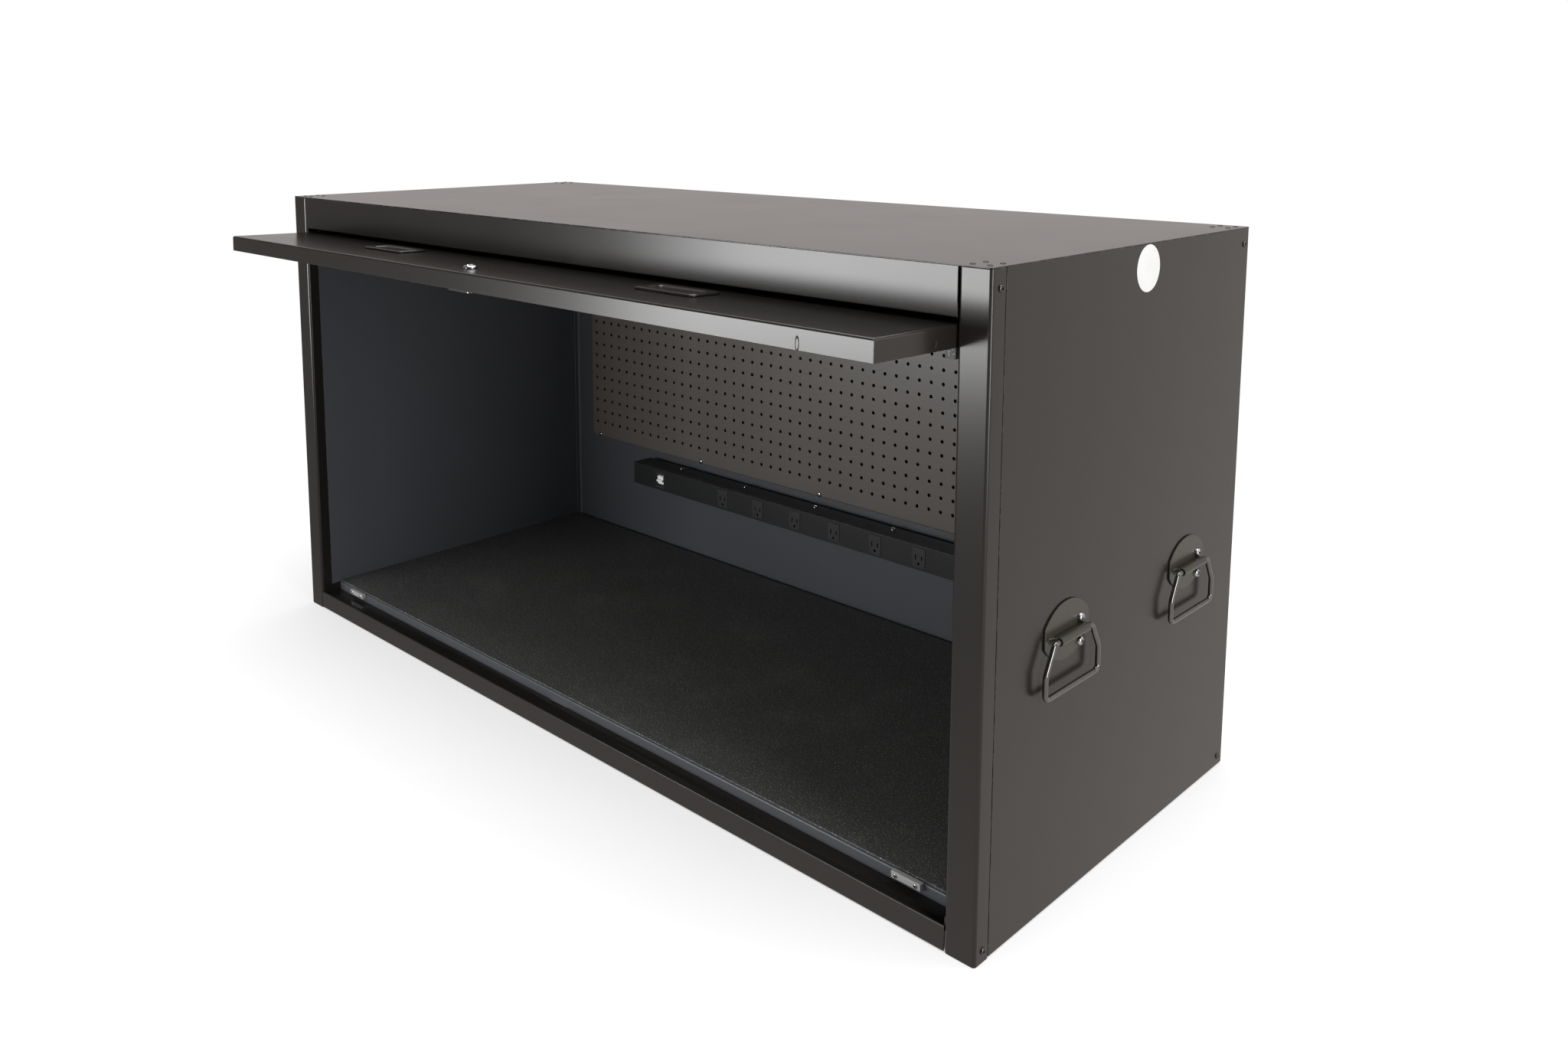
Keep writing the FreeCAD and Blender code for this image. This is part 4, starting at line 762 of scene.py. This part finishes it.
# %% Seat the screws and the rivets
OUT, UP, FRONT = Vector((1, 0, 0)), Vector((0, 0, 1)), Vector((0, -1, 0))
seat_heads("pegboard_screws", FRONT, cross_head("panel_screw", 4.5, 2.4), chrome, 3)
seat_heads("strip_screws", UP, cross_head("strip_screw", 4.5, 2.4), chrome, 5)
seat_heads("catch_screws", FRONT, cross_head("catch_screw", 3.0, 1.4), chrome, 7)
seat_heads("side_screws", OUT, cross_head("side_screw", 4.5, 2.5), dark_screw_and_shaded_cam, 11)
seat_heads("handle_bolts", OUT, cross_head("handle_bolt", 6.0, 5.0, 32, 0.26), chrome, 13)
seat_heads("corner_rivets", UP, rivet_head("corner_rivet", 3.5, 1.0), charcoal, 17)

# %% [markdown]
# ## The door's fittings
#
# Two low pulls and a cylinder lock stand on the door. The door hangs with a slight droop, so
# its fittings are placed in the door's own plane: across, along, and above the middle of its
# thickness. A pull is a stack of rounded rectangles, each a little further in and at its own
# height, which gives a crowned frame round a shallow dish without any cutting.

# %% Work in the plane of the door
PIN_Y, PIN_Z, DROOP, DOOR_HALF = 223.82, 710.82, math.radians(1.3), 13.1
door_up = Vector((0, math.sin(DROOP), math.cos(DROOP)))


def on_door(across, along, above):
    """A point on the door, in millimetres, as a place in the room."""
    return Vector((across,
                   PIN_Y + along * math.cos(DROOP) + above * math.sin(DROOP),
                   PIN_Z - along * math.sin(DROOP) + above * math.cos(DROOP)))


# %% Shape the pulls
PULL_X, PULL_ALONG, PULL_HALF = 338, -597, (56, 26)
PULL_STEPS = [(0, 0, 8), (0, 1.6, 8), (0.5, 2.8, 8), (1.5, 3.6, 7.5), (3.2, 4, 7), (9.5, 4, 6),
              (11.4, 3.6, 5.5), (12.6, 2.7, 5), (13.6, 1.7, 4.5), (15.4, 1.2, 4)]
for side, node in [(1, "door_pull_right"), (-1, "door_pull_left")]:
    form = bmesh.new()
    form.faces.layers.float.new("worn")
    ringed(form, [[on_door(side * PULL_X + x, PULL_ALONG + y, DOOR_HALF + height)
                   for x, y in rounded(PULL_HALF[0] - inset, PULL_HALF[1] - inset, corner)]
                  for inset, height, corner in PULL_STEPS], close=True)
    bmesh.ops.contextual_create(form, geom=[e for e in form.edges if e.is_boundary])
    bmesh.ops.recalc_face_normals(form, faces=form.faces)
    item = stand_for(model(node + "_frame", form, charcoal), node)
    print(f"{node}: {len(item.data.polygons)} faces")

# %% Turn the lock
LOCK_X, LOCK_ALONG = -37, -653


def along_axis(node, seat, axis):
    """How far a node reaches below and above a seat, in millimetres."""
    reach = [(v.co - seat).dot(axis) / MM for v in frame["nodes"][node].data.vertices]
    return min(reach), max(reach)


lock_seat = on_door(LOCK_X, LOCK_ALONG, DOOR_HALF) * MM
low, high = along_axis("lock_body", lock_seat, door_up)
form = turned([(10.5, 0), (10.5, 0.34 * high), (10.1, 0.6 * high), (9.2, 0.84 * high),
               (8.0, 0.97 * high), (7.2, high), (6.6, 0.96 * high), (6.2, 0.84 * high),
               (6.05, 0.7 * high), (6.05, low), (8.6, low), (9, low + 0.5), (9, 0)],
              48, ring=True)
form.faces.layers.float.new("worn")
stand_for(model("lock_rim", aimed(form, lock_seat, door_up), chrome), "lock_body")
soften(chrome, 0.25, "lock_plug")
# On the cam the dark metal is painted shade, which dims its bright reflection.
soften(dark_screw_and_shaded_cam, 0.25, "lock_cam", "lock_nut")
print(f"lock: from {low:.1f} to {high:.1f} mm about the door's face")

# %% [markdown]
# ## The side handles
#
# Each handle is a pressed plate with a rolled barrel, and a bail of dark wire that swings in
# it. The bail follows a path with rounded corners. A curve object with a round bevel would do,
# but its corners need hand-set handles. Sweeping a ring of points along worked-out arcs keeps
# the wire's thickness exact, and the loop closes on itself.


# %% Round the corners of a path
def filleted(corners, steps=7):
    """A closed path through (across, up, bend radius) corners, with arcs at the corners."""
    path = []
    for index, (across, up, bend) in enumerate(corners):
        here = Vector((across, up))
        before = (Vector(corners[index - 1][:2]) - here).normalized()
        after = (Vector(corners[(index + 1) % len(corners)][:2]) - here).normalized()
        half = before.angle(after) / 2
        middle = here + (before + after).normalized() * bend / math.sin(half)
        start = here + before * bend / math.tan(half) - middle
        stop = here + after * bend / math.tan(half) - middle
        sweep = start.angle_signed(stop)
        for step in range(steps + 1):
            turn = Matrix.Rotation(-sweep * step / steps, 2)
            path.append(middle + turn @ start)
    return path


def wire_loop(path, centre, radius, sides=20):
    """A round wire along a closed path in an upright plane that faces X."""
    form = bmesh.new()
    worn = form.faces.layers.float.new("worn")
    rings = []
    for index, here in enumerate(path):
        way = (path[(index + 1) % len(path)] - path[index - 1]).normalized()
        out = Vector((0, way.y, -way.x))
        spot = centre + Vector((0, here.x, here.y))
        rings.append([form.verts.new((spot + radius * (
            OUT * math.cos(2 * math.pi * k / sides) + out * math.sin(2 * math.pi * k / sides)))
            * MM) for k in range(sides)])
    for low, high in zip(rings, rings[1:] + rings[:1]):
        for here in range(sides):
            there = (here + 1) % sides
            form.faces.new((low[here], low[there], high[there], high[here]))
    bmesh.ops.recalc_face_normals(form, faces=form.faces)
    for face in form.faces:
        face[worn] = 0.4
    return form


# %% Bend the bails
BAIL_X, BAIL_Z, WIRE = 786, 348, 3.4
BAIL = [(43, 0, 7), (61, -33, 14), (61, -63.5, 8), (-61, -63.5, 8), (-61, -33, 14), (-43, 0, 7)]
for side, hand in [(1, "right"), (-1, "left")]:
    for end in ["front", "rear"]:
        node = f"bail_{hand}_{end}"
        box_low, box_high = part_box(node)
        centre = Vector((side * BAIL_X, (box_low.y + box_high.y) / 2 / MM, BAIL_Z))
        form = wire_loop(filleted(BAIL), centre, WIRE)
        item = stand_for(model(node + "_wire", form, dark_wire), node)
        print(f"{node}: {len(item.data.polygons)} faces")

# %% Press the plates
PLATE_Z, PLATE_THICK, PLATE_HALF, PLATE_ARCH, SHOULDER = 352, 2.5, 50, 36.5, 12
BARREL_HALF, BARREL, BORE = 32.5, 5.5, 3.5
SIDE_WALL = 775  # how far the side's face is from the middle of the cabinet
WEB = [(-42, 2.6), (-34.5, 4.6), (-32.4, 10), (32.4, 10), (34.5, 4.6), (42, 2.6)]


def arched(half, height, shoulder, steps=20):
    """An upright oval with straight sides and an arch of one radius at each end."""
    radius = (half ** 2 + (height - shoulder) ** 2) / (2 * (height - shoulder))
    reach = math.asin(half / radius)
    arch = [(radius * math.sin(turn), height - radius + radius * math.cos(turn))
            for turn in (reach - 2 * reach * step / steps for step in range(steps + 1))]
    return arch + [(-across, -up) for across, up in arch]


def pressed_plate(side, middle):
    """A plate with soft edges, a web, and a barrel round the wire. Side is 1 or -1."""
    form = bmesh.new()
    form.faces.layers.float.new("worn")
    outline = arched(PLATE_HALF, PLATE_ARCH, SHOULDER)
    loops = ringed(form, [
        [(SIDE_WALL + out, middle + y * (1 - inset / PLATE_HALF),
          PLATE_Z + z * (1 - inset / PLATE_ARCH)) for y, z in outline]
        for out, inset in [(0, 0), (PLATE_THICK - 0.7, 0), (PLATE_THICK - 0.2, 0.25),
                           (PLATE_THICK, 0.8)]], close=True)
    form.faces.new(loops[0])
    loops = ringed(form, [
        [(SIDE_WALL + out, middle + y, BAIL_Z + z) for out, z in [
            (1, 3.9), (out_to - 0.6, 3.9), (out_to, 3.3), (out_to, -3.3), (out_to - 0.6, -3.9),
            (1, -3.9)]] for y, out_to in WEB], close=True)
    form.faces.new(loops[0])
    barrel = aimed(turned([
        (BORE, 0), (BARREL - 0.6, 0), (BARREL, 0.6), (BARREL, 2 * BARREL_HALF - 0.6),
        (BARREL - 0.6, 2 * BARREL_HALF), (BORE, 2 * BARREL_HALF)], 32, ring=True),
        Vector((BAIL_X, middle - BARREL_HALF, BAIL_Z)) * MM, -FRONT)
    piece = bpy.data.meshes.new("barrel")
    barrel.to_mesh(piece)
    barrel.free()
    form.from_mesh(piece)
    form.transform(Matrix.Diagonal((side, 1, 1, 1)))
    bmesh.ops.recalc_face_normals(form, faces=form.faces)
    return form


for side, hand in [(1, "right"), (-1, "left")]:
    for end in ["front", "rear"]:
        node = f"handle_plate_{hand}_{end}"
        box_low, box_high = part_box(node)
        form = pressed_plate(side, (box_low.y + box_high.y) / 2 / MM)
        item = stand_for(model(node + "_pressed", form, olive_black), node)
        print(f"{node}: {len(item.data.polygons)} faces")

# %% [markdown]
# ## The label and the cable grommet
#
# Both are turned. The label is a thin disc with a soft rim, plain white. The grommet is a ring
# of rubber with a waist that grips the back panel, and its profile is a closed loop of points.

# %% Turn the label and the grommet
low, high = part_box("round_label")
thick, radius = (high.x - low.x) / MM, (high.z - low.z) / 2 / MM
seat = Vector((low.x, (low.y + high.y) / 2, (low.z + high.z) / 2))
form = turned([(0, 0), (radius - 0.1, 0), (radius, 0.3 * thick), (radius - 0.1, 0.8 * thick),
               (radius - 0.5, thick), (radius * 0.5, thick), (0, thick)], 72)
stand_for(model("paper_label", aimed(form, seat, OUT), label_paper), "round_label")

low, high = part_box("cable_grommet")
deep, radius = (high.y - low.y) / MM, (high.z - low.z) / 2 / MM
seat = Vector(((low.x + high.x) / 2, low.y, (low.z + high.z) / 2))
form = turned([(radius - 2.4, 0), (radius - 0.8, 0.2), (radius, 1.0), (radius, deep - 1.0),
               (radius - 0.8, deep - 0.2), (radius - 2, deep), (radius - 3, deep - 0.6),
               (radius - 3, 0.6)], 40, ring=True)
stand_for(model("rubber_grommet", aimed(form, seat, -FRONT), rubber), "cable_grommet")
print("label and grommet turned")

# %% [markdown]
# ## The studio
#
# The cabinet stands on a plain white floor that runs into a white background. Near the cabinet
# the floor is lit and takes its shadow. Further off it turns into even white for the camera,
# because lamps fade with distance. In reflections floor and room are darker in front than
# behind, as in a studio with its white wall at the back. Dark gloss shows that difference.
#
# The light is four soft boxes: one above, one at the right and behind, a low one in front,
# which draws the bright bands along the rail and the edge of the door, and a narrow upright
# one at the right, for the side and the bend of the post.


# %% Lay the floor
WHITE = tone(1, 1, 1)
WARM_FLOOR = tone(1, 0.94, 0.91)
FLOOR_GREY, GLOW = 0.6, 0.45
FADE = (1.0, 2.0)                             # metres from the middle
FRONT_FLOOR, MORE_BEHIND = 0.22, 0.5          # how bright the floor looks in reflections
FOOT_X, FOOT_Y = (0.585, 0.6), (0.099, 0.105)  # squares of metres, just inside the outline
REACH = 30


def floor_finish():
    """A pale floor that glows softly for the camera, but not underneath the cabinet."""
    floor = Finish("studio_floor")
    far = floor.window(floor.node("ShaderNodeVectorMath", {"operation": "LENGTH"},
                                  {0: floor.place}, out="Value"), *FADE)
    path = floor.node("ShaderNodeLightPath", out="Is Camera Ray")
    glossy, through = [Term(floor, path.socket.node.outputs[ray])
                       for ray in ("Is Glossy Ray", "Is Transmission Ray")]
    across = floor.node("ShaderNodeSeparateXYZ", sockets={0: floor.place}, out="X")
    depth = Term(floor, across.socket.node.outputs["Y"])
    bright = FRONT_FLOOR + floor.window(across + depth, -1.8, 1.0) * MORE_BEHIND
    under = (1 - floor.window(across * across, *FOOT_X)) * (
        1 - floor.window(depth * depth, *FOOT_Y))
    pale = floor.node("ShaderNodeBsdfDiffuse", sockets={
        "Color": tone(FLOOR_GREY, FLOOR_GREY, FLOOR_GREY)})
    glow = floor.node("ShaderNodeEmission", sockets={
        "Color": WHITE, "Strength": path * GLOW * (1 - under)})
    near = floor.node("ShaderNodeAddShader", sockets={0: pale, 1: glow})
    white = floor.node("ShaderNodeEmission", sockets={"Color": WHITE})
    mirrored = floor.node("ShaderNodeEmission", sockets={
        "Color": WARM_FLOOR, "Strength": bright})
    direct = floor.node("ShaderNodeMixShader", sockets={0: far * path, 1: near, 2: white})
    mixed = floor.node("ShaderNodeMixShader", sockets={
        0: glossy + through, 1: direct, 2: mirrored})
    floor.feed(floor.tree.nodes["Material Output"].inputs["Surface"], mixed)
    return floor.material


floor_mesh = bpy.data.meshes.new("studio_floor")
floor_mesh.from_pydata([(-REACH, -REACH, 0), (REACH, -REACH, 0), (REACH, REACH, 0),
                        (-REACH, REACH, 0)], [], [(0, 1, 2, 3)])
floor_mesh.materials.append(floor_finish())
floor_object = bpy.data.objects.new("studio_floor", floor_mesh)
scene.collection.objects.link(floor_object)
print("floor:", 2 * REACH, "m wide")

# %% Fill the room with even light
WARM_ROOM = tone(1, 0.93, 0.915)
DIM, FRONT_ROOM, BACK_ROOM = 0.52, 0.1, 0.64
scene.world = bpy.data.worlds.new("studio_room")
scene.world.use_nodes = True
room = Board(scene.world.node_tree)
path = room.node("ShaderNodeLightPath", out="Is Camera Ray")
seen = path
for ray in ["Is Glossy Ray", "Is Transmission Ray"]:
    seen = seen + Term(room, path.socket.node.outputs[ray])
way = room.node("ShaderNodeSeparateXYZ", sockets={
    0: room.node("ShaderNodeTexCoord", out="Generated")}, out="Y")
behind = room.node("ShaderNodeMapRange", {"interpolation_type": "SMOOTHSTEP"},
                   {"Value": way, "From Min": -0.35, "From Max": 0.25,
                    "To Min": FRONT_ROOM, "To Max": BACK_ROOM})
lit = room.node("ShaderNodeMath", {"operation": "MAXIMUM"}, {0: behind, 1: path})
dim = room.node("ShaderNodeBackground", sockets={"Color": WHITE, "Strength": DIM})
warm = room.node("ShaderNodeMix", {"data_type": "RGBA"}, {
    "Factor_Float": path, "A_Color": WARM_ROOM, "B_Color": WHITE}, out="Result_Color")
white = room.node("ShaderNodeBackground", sockets={"Color": warm, "Strength": lit})
mixed = room.node("ShaderNodeMixShader", sockets={0: seen, 1: dim, 2: white})
room.feed(room.tree.nodes["World Output"].inputs["Surface"], mixed)
print("room:", len(room.tree.nodes), "nodes")


# %% Hang the soft boxes
def soft_box(name, place, target, wide, tall, radiance):
    """A flat lamp of this size in metres, aimed at target, of this brightness."""
    lamp = bpy.data.lights.new(name, "AREA")
    lamp.shape, lamp.size, lamp.size_y = "RECTANGLE", wide, tall
    lamp.energy = radiance * wide * tall * math.pi
    item = bpy.data.objects.new(name, lamp)
    item.location = place
    item.rotation_euler = (Vector(place) - Vector(target)).to_track_quat("Z", "Y").to_euler()
    scene.collection.objects.link(item)
    print(f"{name}: {wide} x {tall} m, {lamp.energy:.0f} W")


soft_box("box_above", (0.3, 0.0, 3.2), (0.2, 0, 0.4), 3.0, 3.0, 3.4)
soft_box("box_right", (3.4, 2.0, 1.6), (0.6, 0, 0.4), 1.6, 1.6, 1.6)
soft_box("box_front", (-1.2, -3.1, 0.44), (0.3, -0.3, 0.75), 2.1, 0.8, 13.5)
soft_box("box_strip", (2.5, -0.75, 0.9), (0.8, -0.3, 0.6), 0.5, 1.7, 10.0)
